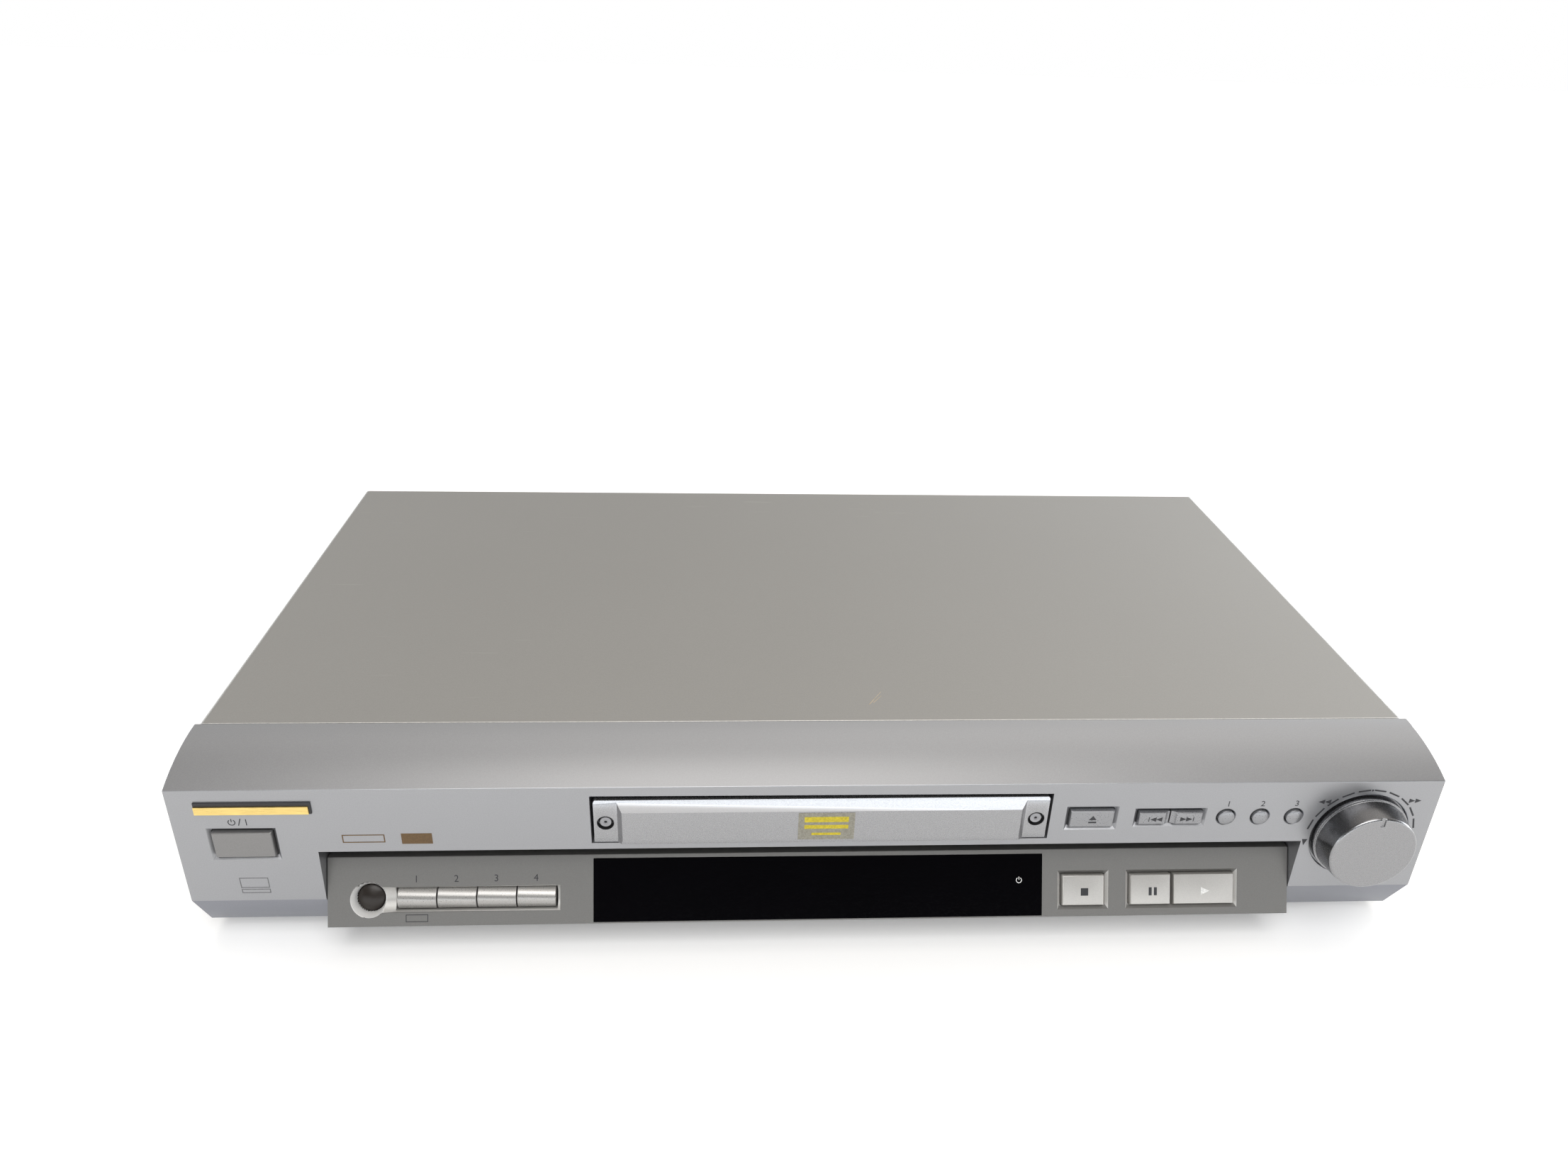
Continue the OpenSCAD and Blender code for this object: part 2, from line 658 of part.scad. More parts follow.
module fascia() in_case() color([0.72, 0.73, 0.76]) {
    difference() {
        union() {
            fascia_shell();
            // strip between the mouth and the recess, and the recess's cheeks
            block([-recess_w / 2, wall_t - 0.1, recess_z],
                  [recess_w / 2, recess_d, recess_z + strip_h]);
            for (side = [0, 1]) mirror([side, 0, 0]) intersection() {
                block([recess_w / 2, 0, base_z], [recess_w / 2 + wall_t, recess_d, recess_z + strip_h]);
                across(2 * case_w) fascia_side(0);
            }
            // frame round the mouth that guides the door
            deep(wall_t - 0.1, 6) translate([0, mouth_z + mouth_h / 2]) difference() {
                square([mouth_w + 2 * wall_t, mouth_h + 2 * wall_t], center = true);
                square([mouth_w, mouth_h], center = true);
            }
            translate([dial_x, 0, dial_z]) bar_y(dial_pocket_r + 2, wall_t - 0.1, 4.4);
            front_posts() bar_y(3.2, wall_t - 0.1, front_board_y);
            // clips that hook under the cover and through the chassis
            clip_places() {
                block([-clip_w / 2, brow_d - 3, top_z - wall_t - 0.4],
                      [clip_w / 2, brow_d + 5, top_z - sheet_t - slack]);
                block([-clip_w / 2, brow_d - 6, base_z + wall_t - 1.4],
                      [clip_w / 2, brow_d + 5, base_z + wall_t]);
            }
        }
        fascia_openings();
        front_posts() bar_y(screw_hole_r, 8, front_board_y + through);
        panel_tabs() translate([0, 0, base_z - through]) cylinder(r = screw_hole_r, h = wall_t + 2);
    }
}

// Side view of the control panel's wedge, shrunk by t; it runs on to the rear by
// twice t, where it is open
module wedge_side(t) {
    rear = recess_d - slack + 3 * t;
    polygon(inset([[-panel_out, panel_z], [chin_back + 0.6, base_z], [rear, base_z],
                   [rear, panel_top_z], [panel_top_y, panel_top_z]], t));
}

module control_panel() {
    in_case() color([0.6, 0.59, 0.55]) difference() {
        across(panel_w) wedge_side(0);
        across(panel_w - 2 * panel_t) wedge_side(panel_t);
        translate([0, -panel_out, panel_z]) rotate([-panel_tilt, 0, 0]) panel_openings();
    }
    in_case() color([0.6, 0.59, 0.55]) panel_tabs() difference() {
        union() {
            block([-7, -6, base_z + wall_t], [7, 5, base_z + 2 * wall_t]);
            block([-7, -6, base_z + 1], [7, -4 - slack, base_z + wall_t + 0.1]);
        }
        translate([0, 0, base_z]) cylinder(r = screw_hole_r, h = 3 * wall_t);
    }
    on_panel() color([0.6, 0.59, 0.55]) difference() {
        block([memory_xw[0] - dish_r - 2, panel_t - 0.1, memory_xw[1] - dish_r - 1.2],
              [channel_end + 2, thick_d, memory_xw[1] + dish_r + 1.2]);
        panel_openings();
    }
    on_panel() color([0.6, 0.59, 0.55]) panel_posts() difference() {
        bar_y(2.3, panel_t - 0.1, board_depth);
        bar_y(screw_hole_r, panel_t + 1.6, board_depth + through);
    }
}

// Openings in the sloping face, in the panel's own frame
module panel_openings() {
    translate([stop_key[0], 0, stop_key[1]]) key_hole(stop_key[2], stop_key[3], panel_t);
    pair_w = play_key[0] + play_key[2] / 2 - pause_key[0] + pause_key[2] / 2;
    translate([pause_key[0] - pause_key[2] / 2 + pair_w / 2, 0, pause_key[1]])
        key_hole(pair_w, play_key[3], panel_t);
    // window seat
    translate([window_xw[0], 0, window_xw[1]]) {
        deep(-through, 1.6) square([window_w + 0.2, window_l + 0.2], center = true);
        deep(-through, panel_t + through) square([window_w - 6, window_l - 4], center = true);
    }
    // dish and hole of the memory button
    translate([memory_xw[0], 0, memory_xw[1]]) {
        turned_y() polygon([[0, -0.5], [dish_r + 0.2, -0.5], [dish_r, 0],
                            [memory_r + key_gap, dish_d], [0, dish_d]]);
        bar_y(memory_r + key_gap, -through, thick_d + through);
    }
    // half-round channel and the slots of the four sound buttons
    channel_r = (channel_h * channel_h / 4 + channel_d * channel_d) / (2 * channel_d);
    translate([0, channel_d - channel_r, memory_xw[1]]) intersection() {
        bar_x(channel_r, memory_xw[0], channel_end);
        block([memory_xw[0], 0, -channel_h], [channel_end, 2 * channel_r, channel_h]);
    }
    sound_mid = sound_x0 + 2 * sound_pitch;
    translate([sound_mid, 0, memory_xw[1]]) deep(-through, thick_d + through)
        square([4 * sound_pitch + 2 * key_gap, sound_h + 2 * key_gap], center = true);
}

module display_window() on_panel() color([0.02, 0.02, 0.03])
    translate([window_xw[0], 0, window_xw[1]]) {
        deep(-0.1, 1.5) square([window_w, window_l], center = true);
        deep(1.4, 2.6) square([window_w - 6.4, window_l - 4.4], center = true);
    }

module display_tube() on_panel() color([0.1, 0.14, 0.14])
    translate([window_xw[0], 0, window_xw[1]]) {
        deep(3, board_depth - 1.6) square([window_w - 46.4, window_l - 7.1], center = true);
        deep(board_depth - 1.6, board_depth) square([window_w - 54.4, window_l - 12.1], center = true);
    }

module console_pcb() on_panel() color([0.12, 0.13, 0.12]) difference() {
    block([-panel_w / 2 + 3, board_depth, 4], [panel_w / 2 - 3, board_depth + board_t, panel_l - 4.15]);
    panel_posts() bar_y(screw_hole_r, board_depth - through, board_depth + board_t + through);
}

module front_pcb() in_case() color([0.12, 0.13, 0.12]) {
    edge = case_w / 2 - wall_t - 3;
    inner = mouth_w / 2 + wall_t + 3.2;
    low = front_board_z;
    deep(front_board_y, front_board_y + board_t) difference() {
        union() {
            translate([-edge, low]) square([2 * edge, recess_z - 1.45 - low]);
            translate([-edge, low]) square([edge - inner, crease_z - 7.6 - low]);
            translate([inner, low]) square([edge - inner, crease_z - 4.6 - low]);
        }
        for (side = [-1, 1]) translate([side * (case_w / 2 - front_post_in), front_post_z])
            circle(screw_hole_r);
    }
    // flat-cable socket
    translate([cable_mid, front_board_y + board_t, front_post_z - 2]) block([-12, 0, 0], [12, 5, 6]);
}

// Tact switch with its plunger, face at y = 0, body behind
module tact(face, board) {
    deep(face + 0.4, board) square([6, 6], center = true);
    bar_y(1.7, face, face + 0.5);
}

module panel_switches() color([0.15, 0.15, 0.16]) {
    upper_face = front_board_y - 3;
    in_case() {
        for (k = concat([[power_key[0], power_key[1]], [open_key[0], upper_z]],
                        [for (x = concat(skip_xs, mode_xs)) [x, upper_z]]))
            translate([k[0], 0, k[1]]) tact(upper_face, front_board_y);
        // encoder behind the shuttle dial
        translate([dial_x, 0, dial_z]) difference() {
            union() {
                deep(9, front_board_y) square([22, 22], center = true);
                bar_y(hub_r, 8.2, 9.1);
            }
            bar_y(3 + fit, 7, front_board_y - 1);
        }
    }
    on_panel() for (k = lower_places()) translate([k[0], 0, k[1]])
        tact(board_depth - 2, board_depth);
}

function lower_places() = concat(
    [memory_xw, [stop_key[0], stop_key[1]], [pause_key[0], pause_key[1]],
     [play_key[0], play_key[1]]],
    [for (i = [0 : 3]) [sound_x0 + (i + 0.5) * sound_pitch, memory_xw[1]]]);

// ---------------------------------------------------------------- controls

upper_stem = front_board_y - 3 - key_travel - 0.1;
lower_stem = board_depth - 2 - key_travel - 0.1;

module power_button() in_case() color([0.68, 0.67, 0.64])
    translate([power_key[0], 0, power_key[1]])
        key(power_key[2], power_key[3], wall_t, upper_stem);

module open_button() in_case() color([0.7, 0.7, 0.7])
    translate([open_key[0], 0, open_key[1]]) key(open_key[2], open_key[3], wall_t, upper_stem);

// One of the two skip buttons: the facing sides are hollowed to a shared saddle
module skip_button(side) in_case() color([0.7, 0.7, 0.7])
    translate([skip_xs[side < 0 ? 0 : 1], 0, upper_z]) difference() {
        union() {
            pillow(skip_size[0], skip_size[1], -key_out, wall_t + 0.9, 0.4, 0.25);
            deep(wall_t + 0.5, wall_t + 1.4)
                translate([side * 0.6, 0]) square([skip_size[0] - 0.6, skip_size[1] + 1.6], center = true);
            bar_y(1.5, wall_t + 1, upper_stem);
        }
        translate([-side * skip_size[0] / 2, -key_out - 0.6, 0])
            cylinder(r = 1.9, h = skip_size[1] + 2, center = true);
    }

module skip_back_button() skip_button(-1);
module skip_forward_button() skip_button(1);

module mode_button(i) in_case() color([0.7, 0.7, 0.7])
    translate([mode_xs[i], 0, upper_z]) round_key(mode_r, -1.3, wall_t, upper_stem);

module mode_button_1() mode_button(0);
module mode_button_2() mode_button(1);
module mode_button_3() mode_button(2);

module shuttle_dial() in_case() color([0.68, 0.67, 0.66])
    translate([dial_x, 0, dial_z]) difference() {
        union() {
            turned_y() polygon([
                [0, -dial_out], [dial_r - 0.6, -dial_out], [dial_r, -dial_out + 0.6],
                [dial_r + 0.9, -1.7], [dial_r + 1.6, -1.7], [dial_r + 1.6, dial_pocket_d - slack],
                [hub_r, dial_pocket_d - slack], [hub_r, 7.8], [0, 7.8]]);
            bar_y(3, 7, front_board_y - 1.6);
        }
        // index notch in the face
        block([-0.7, -dial_out - through, dial_r - 3.4], [0.7, -dial_out + 0.6, dial_r + 2]);
        // hollow behind the rim
        difference() {
            bar_y(dial_r - 1.6, -dial_out + 2.4, dial_pocket_d);
            bar_y(hub_r + 1.6, -dial_out, 2);
        }
    }

module memory_button() on_panel() color([0.13, 0.12, 0.12])
    translate([memory_xw[0], 0, memory_xw[1]])
        round_key(memory_r, dish_d - 0.8, thick_d, lower_stem);

// Half-round button that lies in the channel
module sound_button(i) on_panel() color([0.66, 0.65, 0.62])
    translate([sound_x0 + (i + 0.5) * sound_pitch, 0, memory_xw[1]]) {
        w = sound_pitch - 0.4;
        crown = 2.2;
        crown_r = (sound_h * sound_h / 4 + crown * crown) / (2 * crown);
        rotate([0, -90, 0]) linear_extrude(w, center = true) intersection() {
            translate([-sound_h / 2, 0]) square([sound_h, thick_d + 0.8]);
            translate([0, crown_r]) circle(crown_r, $fn = 120);
        }
        block([-w / 2, thick_d + 0.4, -sound_h / 2 - 0.9], [w / 2, thick_d + 1.2, sound_h / 2 + 0.9]);
        bar_y(1.5, thick_d + 1, lower_stem);
    }

module sound_button_1() sound_button(0);
module sound_button_2() sound_button(1);
module sound_button_3() sound_button(2);
module sound_button_4() sound_button(3);

module lower_key(k) on_panel() color([0.68, 0.67, 0.64])
    translate([k[0], 0, k[1]]) key(k[2] - 0.4, k[3], panel_t, lower_stem);

module stop_button() lower_key(stop_key);

// Pause and play share one pocket, so their flanges are narrow where they meet
module shared_key(k, side) on_panel() color([0.68, 0.67, 0.64])
    translate([k[0], 0, k[1]]) {
        w = k[2];
        pillow(w, k[3], -key_out, panel_t + 0.9, 0.5, 0.35);
        deep(panel_t + 0.5, panel_t + 1.4)
            translate([side * 0.6, 0]) square([w - 0.4, k[3] + 1.8], center = true);
        bar_y(1.5, panel_t + 1, lower_stem);
    }

module pause_button() shared_key(pause_key, -1);
module play_button() shared_key(play_key, 1);

// ---------------------------------------------------------------- rear sockets

module mains_inlet() in_case() color([0.08, 0.08, 0.09])
    translate([inlet_x, 0, inlet_z]) {
        difference() {
            union() {
                deep(rear_y + sheet_t, rear_y + sheet_t + 1.6) round_rect(27, 19, 2);
                deep(rear_y - 15, rear_y + sheet_t + 0.1) round_rect(22, 15, 1);
            }
            deep(rear_y - 10, rear_y + 4) inlet_hollow();
        }
        for (side = [-1, 1]) translate([side * 4.3, 0, 0])
            bar_y(1.2, rear_y - 10.5, rear_y - 1);
    }

// Figure-of-eight hollow of a two-pin inlet
module inlet_hollow() {
    for (side = [-1, 1]) translate([side * 4.3, 0]) circle(4.4);
    square([8.6, 6.6], center = true);
}

module av_jacks() in_case() color([0.85, 0.83, 0.78])
    for (x = jack_xs) {
        difference() {
            block([x - 7.6, rear_y - 16, board_top_z], [x + 7.6, rear_y, jack_z[1] + 8]);
            for (z = jack_z) translate([x, 0, z]) bar_y(jack_bore_r, rear_y - 8, rear_y + through);
        }
        for (z = jack_z) translate([x, 0, z]) difference() {
            bar_y(jack_r, rear_y, rear_y + jack_out);
            bar_y(jack_bore_r, rear_y - through, rear_y + jack_out + through);
        }
    }

module video_sockets() in_case() color([0.1, 0.1, 0.11])
    translate([socket_x, 0, 0]) {
        difference() {
            union() {
                block([-7.6, rear_y - 16, board_top_z], [7.6, rear_y, jack_z[1] + 7]);
                translate([0, 0, jack_z[0]]) bar_y(6, rear_y - 0.1, rear_y + 2.2);
                block([-4.9, rear_y - 0.1, jack_z[1] - 4.4], [4.9, rear_y + 2.2, jack_z[1] + 4.4]);
            }
            translate([0, 0, jack_z[0]]) difference() {
                bar_y(4.8, rear_y - 5, rear_y + 3);
                bar_y(3.6, rear_y - 6, rear_y + 1.4);
            }
            for (side = [-1, 1], up = [-1, 1])
                translate([side * 1.7, 0, jack_z[0] + up * 1.2])
                    bar_y(0.5, rear_y - 4, rear_y + 3);
        }
    }

// ---------------------------------------------------------------- electronics

module board(b) difference() {
    block([b[0], b[1], board_z], [b[2], b[3], board_z + board_t]);
    for (x = [b[0] + 5, b[2] - 5], y = [b[1] + 5, b[3] - 12])
        translate([x, y, board_z - through]) cylinder(r = screw_hole_r, h = 4);
}

module on_board(b, u, v) translate([spot(b, u, v)[0], spot(b, u, v)[1], board_top_z]) children();

// Box with its foot on the board, its middle at the place
module part_box(w, d, h) translate([-w / 2, -d / 2, 0]) cube([w, d, h]);

module main_pcb() in_case() color([0.08, 0.32, 0.18]) {
    board(main_board);
    // chips, as [share of the width, share of the depth, width, depth, height]
    for (c = [[0.21, 0.24, 28, 28, 3], [0.6, 0.325, 20, 14, 2.4], [0.6, 0.54, 20, 14, 2.4],
              [0.16, 0.6, 16, 16, 2.4], [0.82, 0.24, 12, 18, 2.4]])
        on_board(main_board, c[0], c[1]) part_box(c[2], c[3], c[4]);
    translate([cable_mid, main_board[1] + 7.5, board_top_z]) part_box(24, 5, 6);
    for (i = [0 : 5]) on_board(main_board, 0.27 + i * 0.116, 0.77) cylinder(r = 3.2, h = 11);
}

module power_pcb() in_case() color([0.72, 0.55, 0.3]) {
    board(power_board);
    // fuse in its clips, and the wire socket
    on_board(power_board, 0.185, 0.686) {
        translate([0, 0, 4]) bar_y(2.6, -10, 10);
        for (y = [-8, 8]) translate([0, y, 0]) part_box(6, 4, 4);
    }
    on_board(power_board, 0.87, 0.16) part_box(16, 8, 8);
    for (i = [0 : 3]) on_board(power_board, 0.72 + i * 0.085, 0.83) cylinder(r = 2, h = 9);
}

module mains_transformer() in_case() color([0.45, 0.3, 0.15]) on_board(power_board, 0.528, 0.474) {
    difference() {
        translate([0, 0, 2]) part_box(34, 34, 26);
        translate([0, 0, 7]) part_box(24, 36, 16);
    }
    translate([0, 0, 15]) bar_y(7.6, -16, 16);
    part_box(30, 30, 2);
}

module filter_capacitors() in_case() color([0.1, 0.1, 0.3])
    for (c = [[0.167, 0.438, 10, 30], [0.815, 0.423, 6.4, 22], [0.815, 0.54, 6.4, 22],
              [0.815, 0.657, 5, 18], [0.685, 0.715, 5, 18]])
        on_board(power_board, c[0], c[1]) cylinder(r = c[2], h = c[3]);

module heat_sink() in_case() color("lightgray") on_board(power_board, 0.435, 0.18) {
    translate([0, 1.5, 0]) part_box(50, 3, 34);
    for (i = [-4 : 4]) translate([i * 6, 9, 3]) part_box(1.6, 12.2, 31);
}

function heading(path, i) =
    let (a = path[max(i - 1, 0)], b = path[min(i + 1, len(path) - 1)]) (b - a) / norm(b - a);

// Flat band along a path drawn as [y, z]
module ribbon(x0, x1, path) {
    t = 0.5;
    translate([(x0 + x1) / 2, 0, 0]) across(x1 - x0)
        polygon(concat(path, [for (i = [len(path) - 1 : -1 : 0])
            let (d = heading(path, i)) path[i] + t * [-d[1], d[0]]]));
}

module flat_cables() in_case() color([0.9, 0.9, 0.88]) {
    socket_y = front_board_y + board_t + 5;
    over_z = base_z + pan_front_h + 1;
    end_y = main_board[1] + 7;
    ribbon(cable_mid - 10, cable_mid + 10, [
        [socket_y + 0.3, front_post_z + 1], [socket_y + 1.6, front_post_z + 1.5],
        [socket_y + 3, over_z], [pan_y + 6, over_z + 1], [pan_y + 20, over_z - 6],
        [end_y - 9, board_top_z + 12], [end_y - 2, board_top_z + 9], [end_y, board_top_z + 6.1]]);
}

// ---------------------------------------------------------------- loader

module loader_frame() in_case() color([0.14, 0.14, 0.15]) {
    half = frame_w / 2;
    inner = half - frame_wall;
    y0 = frame_y[0];
    y1 = frame_y[1];
    difference() {
        union() {
            for (side = [0, 1]) mirror([side, 0, 0]) {
                block([inner, y0, frame_z[0]], [half, y1, frame_z[1]]);
                // rail under the tray's runner, and the tabs that hold it down
                block([inner - 5.4, y0 + 5, runner_z - 2.7], [inner + 0.1, y1 - 3, runner_z - slack]);
                for (y = [y0 + 9, spindle_y + 32, y1 - 14])
                    block([inner - 4.2, y, tray_top_z + slack], [inner + 0.1, y + 10, frame_z[1]]);
                // pivot ears of the traverse
                block([window_half + 0.6, pivot_y - 5, deck_z - 4],
                      [window_half + 4.4, pivot_y + 5, pivot_z + 5]);
            }
            block([-half, y0, frame_z[0]], [half, y0 + frame_wall, deck_z + deck_t]);
            block([-half, y1 - frame_wall, frame_z[0]], [half, y1, frame_z[1]]);
            block([-half, y0, deck_z], [half, y1, deck_z + deck_t]);
            // channel in which the cam slides
            block([-window_half, cam_y[0] - 2.4, cam_z[0] - 2],
                  [window_half, cam_y[0] - 0.4, deck_z + deck_t]);
            block([-window_half, cam_y[0] - 2.4, cam_z[0] - 2], [window_half, cam_y[1] + 2, cam_z[0] - slack]);
            loader_posts() translate([0, 0, frame_z[0]]) cylinder(r = 5, h = frame_wall);
            for (side = [0, 1], y = lug_y) mirror([side, 0, 0])
                block([half - 0.1, y - 5, frame_z[0]], [lug_x, y + 5, frame_z[0] + frame_wall]);
            translate([drive_xy[0], drive_xy[1], deck_z]) {
                cylinder(r = post_r, h = pinion_z[1] - deck_z - 0.4);
                cylinder(r = 3, h = gear_z[0] - deck_z - 0.2);
            }
            translate([idler_xy[0], idler_xy[1], deck_z])
                cylinder(r = post_r, h = gear_z[1] - deck_z - 0.4);
        }
        block([-window_half, window_y[0], deck_z - through],
              [window_half, window_y[1], deck_z + deck_t + through]);
        translate([0, pivot_y, pivot_z])
            bar_x(post_r + fit, -window_half - 5, window_half + 5);
        translate([motor_xy[0], motor_xy[1], deck_z - through]) cylinder(r = 3.3, h = 4);
        loader_posts() translate([0, 0, frame_z[0] - through]) cylinder(r = screw_hole_r, h = 5);
        // lightening windows in the side walls
        for (side = [0, 1], i = [0 : 2]) mirror([side, 0, 0])
            translate([0, y0 + 19 + i * (y1 - y0 - 35) / 3, 0])
                block([inner - through, 0, frame_z[0] + 5],
                      [half + through, (y1 - y0 - 35) / 3 - 14, deck_z - 6]);
    }
}

module clamper_bridge() in_case() color("silver") difference() {
    union() {
        block([-frame_w / 2, bridge_y[0], bridge_z[0]], [frame_w / 2, bridge_y[1], bridge_z[1] - 1.2]);
        for (y = bridge_y) translate([0, y == bridge_y[0] ? 0 : -1.2, 0])
            block([-frame_w / 2 + 8, y, bridge_z[0] + 0.4], [frame_w / 2 - 8, y + 1.2, bridge_z[1] + 1.6]);
        translate([0, spindle_y, bridge_z[0]])
            cylinder(r = clamper_r + 5.4, h = bridge_z[1] - bridge_z[0]);
    }
    translate([0, spindle_y, bridge_z[0] - through])
        cylinder(r = clamper_r + 1.4, h = 6);
}

module clamper() in_case() color([0.85, 0.85, 0.86]) translate([0, spindle_y, 0])
    rotate_extrude() polygon([
        [0, disc_z + 3.4], [8.8, disc_z + 3.4], [8.8, disc_z + 2.1], [clamper_r - 0.6, disc_z + 2.1],
        [clamper_r, disc_z + 2.7],
        [clamper_r, bridge_z[1] + slack], [clamper_r + 3.8, bridge_z[1] + slack],
        [clamper_r + 3.8, bridge_z[1] + 1.8], [0, bridge_z[1] + 1.8]]);

module disc_tray() in_case() color([0.1, 0.1, 0.11]) {
    half = tray_w / 2;
    hollow_y = spindle_y + disc_r + 5;
    hollow_l = (tray_rear_y - 10 - hollow_y) / 2;
    difference() {
        union() {
            block([-half, tray_y, tray_under_z], [half, tray_rear_y, tray_top_z]);
            for (side = [0, 1]) mirror([side, 0, 0]) {
                block([half - runner_w, tray_y + 10, runner_z], [half, tray_rear_y, tray_under_z + 0.1]);
                // lug that carries one end of the door
                block([door_w / 2 - door_block_w, tray_y, door_z + 1],
                      [door_w / 2 - 0.6, tray_y + 2, tray_top_z]);
            }
            upright(pinion_z[0] + 0.3, tray_under_z + 0.1)
                rack(drive_xy[1] - 5, tray_rear_y, drive_xy[1], rack_x - 5);
        }
        translate([0, spindle_y, tray_floor_z]) cylinder(r = disc_r, h = 5, $fn = 180);
        translate([0, spindle_y, tray_floor_z - 0.9]) cylinder(r = small_disc_r, h = 5, $fn = 180);
        // opening for spindle and pickup, open to the rear
        translate([0, spindle_y, tray_under_z - through]) cylinder(r = slot_half, h = 8);
        block([-slot_half, spindle_y, tray_under_z - through],
              [slot_half, tray_rear_y + through, tray_top_z + through]);
        door_screw_places() bar_y(0.95, tray_y - through, tray_y + 4);
        // finger notches beside the disc
        for (side = [-1, 1]) translate([side * disc_r, spindle_y - 42, tray_floor_z + 1])
            cylinder(r = 14, h = 5);
        // hollows under the solid corners of the plate
        for (side = [0, 1], y = [hollow_y, hollow_y + hollow_l + 4]) mirror([side, 0, 0])
            block([slot_half + 5, y, tray_under_z - through], [-rack_x - 6, y + hollow_l, tray_top_z - 2.2]);
    }
}

module door_screw_places()
    for (side = [-1, 1]) translate([side * (door_w - door_block_w) / 2, 0, door_z + door_h / 2 - 0.5]) children();

// Side view of the door; its middle stands out of the ends
module door_side(out) polygon([
    [-out + 0.3, door_z], [-out, door_z + 2],
    [-out, door_z + door_h - 0.1 - 2.5 * (out + door_bevel_y)],
    [door_bevel_y, door_z + door_h - 0.1], [door_bevel_y + 0.3, door_z + door_h],
    [tray_y, door_z + door_h], [tray_y, door_z]]);

module tray_door() in_case() color([0.74, 0.75, 0.77]) {
    mid = door_w / 2 - door_block_w;
    difference() {
        union() {
            intersection() {
                across(door_w) door_side(0);
                deep(-through, tray_y + through)
                    translate([0, door_z]) round_top(door_w, door_h, door_corner_r);
            }
            intersection() {
                across(door_w) door_side(door_out);
                deep_taper(mid);
            }
        }
        across(2 * mid) polygon([
            [1.4, door_z + 2], [1.4, door_z + door_h - 3],
            [tray_y + 1, door_z + door_h - 3], [tray_y + 1, door_z + 2]]);
        door_screw_places() {
            bar_y(2.8, -through, 2);
            bar_y(0.9, 0, tray_y + through);
        }
    }
}

// Plan of the door's middle: its cheeks slope out to the raised face
module deep_taper(mid) upright(door_z - through, door_z + door_h + through)
    polygon([[-mid, 0.01], [-mid + 1.6, -door_out], [mid - 1.6, -door_out],
             [mid, 0.01], [mid, tray_y], [-mid, tray_y]]);

module door_screws() in_case() color("silver")
    door_screw_places() difference() {
        union() {
            bar_y(1.9, 0.6, 2);
            bar_y(0.8, 1.9, tray_y + 2);
        }
        bar_y(0.55, 0, 1.5);
    }

module loading_motor() in_case() color("silver") translate([motor_xy[0], motor_xy[1], 0])
    difference() {
        union() {
            translate([0, 0, deck_z - motor_h]) cylinder(r = motor_r, h = motor_h);
            translate([0, 0, deck_z - 0.1]) cylinder(r = 3, h = 1.6);
        }
        translate([0, 0, deck_z - 8]) cylinder(r = 1 + fit, h = 12);
    }

// Pulley groove in a rim: r at the bottom of the groove
module grooved(r, z0, z1) {
    mid = (z0 + z1) / 2;
    polygon([[0, z0], [r + 0.9, z0], [r + 0.9, z0 + 0.3], [r, mid - 0.8], [r, mid + 0.8],
             [r + 0.9, z1 - 0.3], [r + 0.9, z1], [0, z1]]);
}

module motor_pulley() in_case() color([0.9, 0.88, 0.8]) translate([motor_xy[0], motor_xy[1], 0]) {
    rotate_extrude() grooved(motor_pulley_r, pulley_z[0], pulley_z[1]);
    translate([0, 0, deck_z - 7.5]) cylinder(r = 1, h = 10);
}

module pulley_gear() in_case() color([0.92, 0.92, 0.9]) translate([idler_xy[0], idler_xy[1], 0])
    difference() {
        union() {
            rotate_extrude() grooved(pulley_r, pulley_z[0], pulley_z[1]);
            upright(pulley_z[1] - 0.1, gear_z[1])
                gear(idler_n, idler_angle + 180 + 180 / idler_n);
        }
        translate([0, 0, deck_z]) cylinder(r = post_r + fit, h = 12);
    }

module drive_gear() in_case() color([0.92, 0.92, 0.9]) translate([drive_xy[0], drive_xy[1], 0])
    difference() {
        union() {
            upright(gear_z[0], gear_z[1]) gear(wheel_n, idler_angle);
            upright(gear_z[1] - 0.1, pinion_z[1]) gear(pinion_n, 180);
        }
        translate([0, 0, deck_z]) cylinder(r = post_r + fit, h = 20);
        for (i = [0 : 4]) rotate(i * 72) translate([8, 0, gear_z[0] - through]) cylinder(r = 2, h = 12);
    }

module drive_belt() in_case() color([0.05, 0.05, 0.05]) {
    mid = (pulley_z[0] + pulley_z[1]) / 2;
    upright(mid - belt_w / 2 + 0.15, mid + belt_w / 2 - 0.15) difference() {
        belt_loop(0.1 + belt_t);
        belt_loop(0.1);
    }
}

module belt_loop(grow) hull() {
    translate(idler_xy) circle(pulley_r + grow, $fn = 48);
    translate(motor_xy) circle(motor_pulley_r + grow, $fn = 48);
}

// Sliding plate whose slanted slot raises and lowers the traverse
module slide_cam() in_case() color([0.88, 0.88, 0.85]) difference() {
    deep(cam_y[0], cam_y[1]) polygon([
        [cam_pin_x - 34, cam_z[0]], [cam_pin_x + 8, cam_z[0]], [cam_pin_x + 8, cam_z[1]],
        [cam_pin_x - 8, cam_z[1]], [cam_pin_x - 34, cam_z[0] + 6]]);
    cam_slot();
}

module cam_slot() {
    slot_r = post_r + 0.35;
    angle = atan2(cam_drop, cam_travel);
    length = norm([cam_drop, cam_travel]);
    translate([cam_pin_x, 0, cam_pin_z]) {
        bar_y(slot_r, cam_y[0] - through, cam_y[1] + through);
        rotate([0, -angle, 0]) {
            block([-length, cam_y[0] - through, -slot_r], [0, cam_y[1] + through, slot_r]);
            translate([-length, 0, 0]) bar_y(slot_r, cam_y[0] - through, cam_y[1] + through);
        }
    }
}

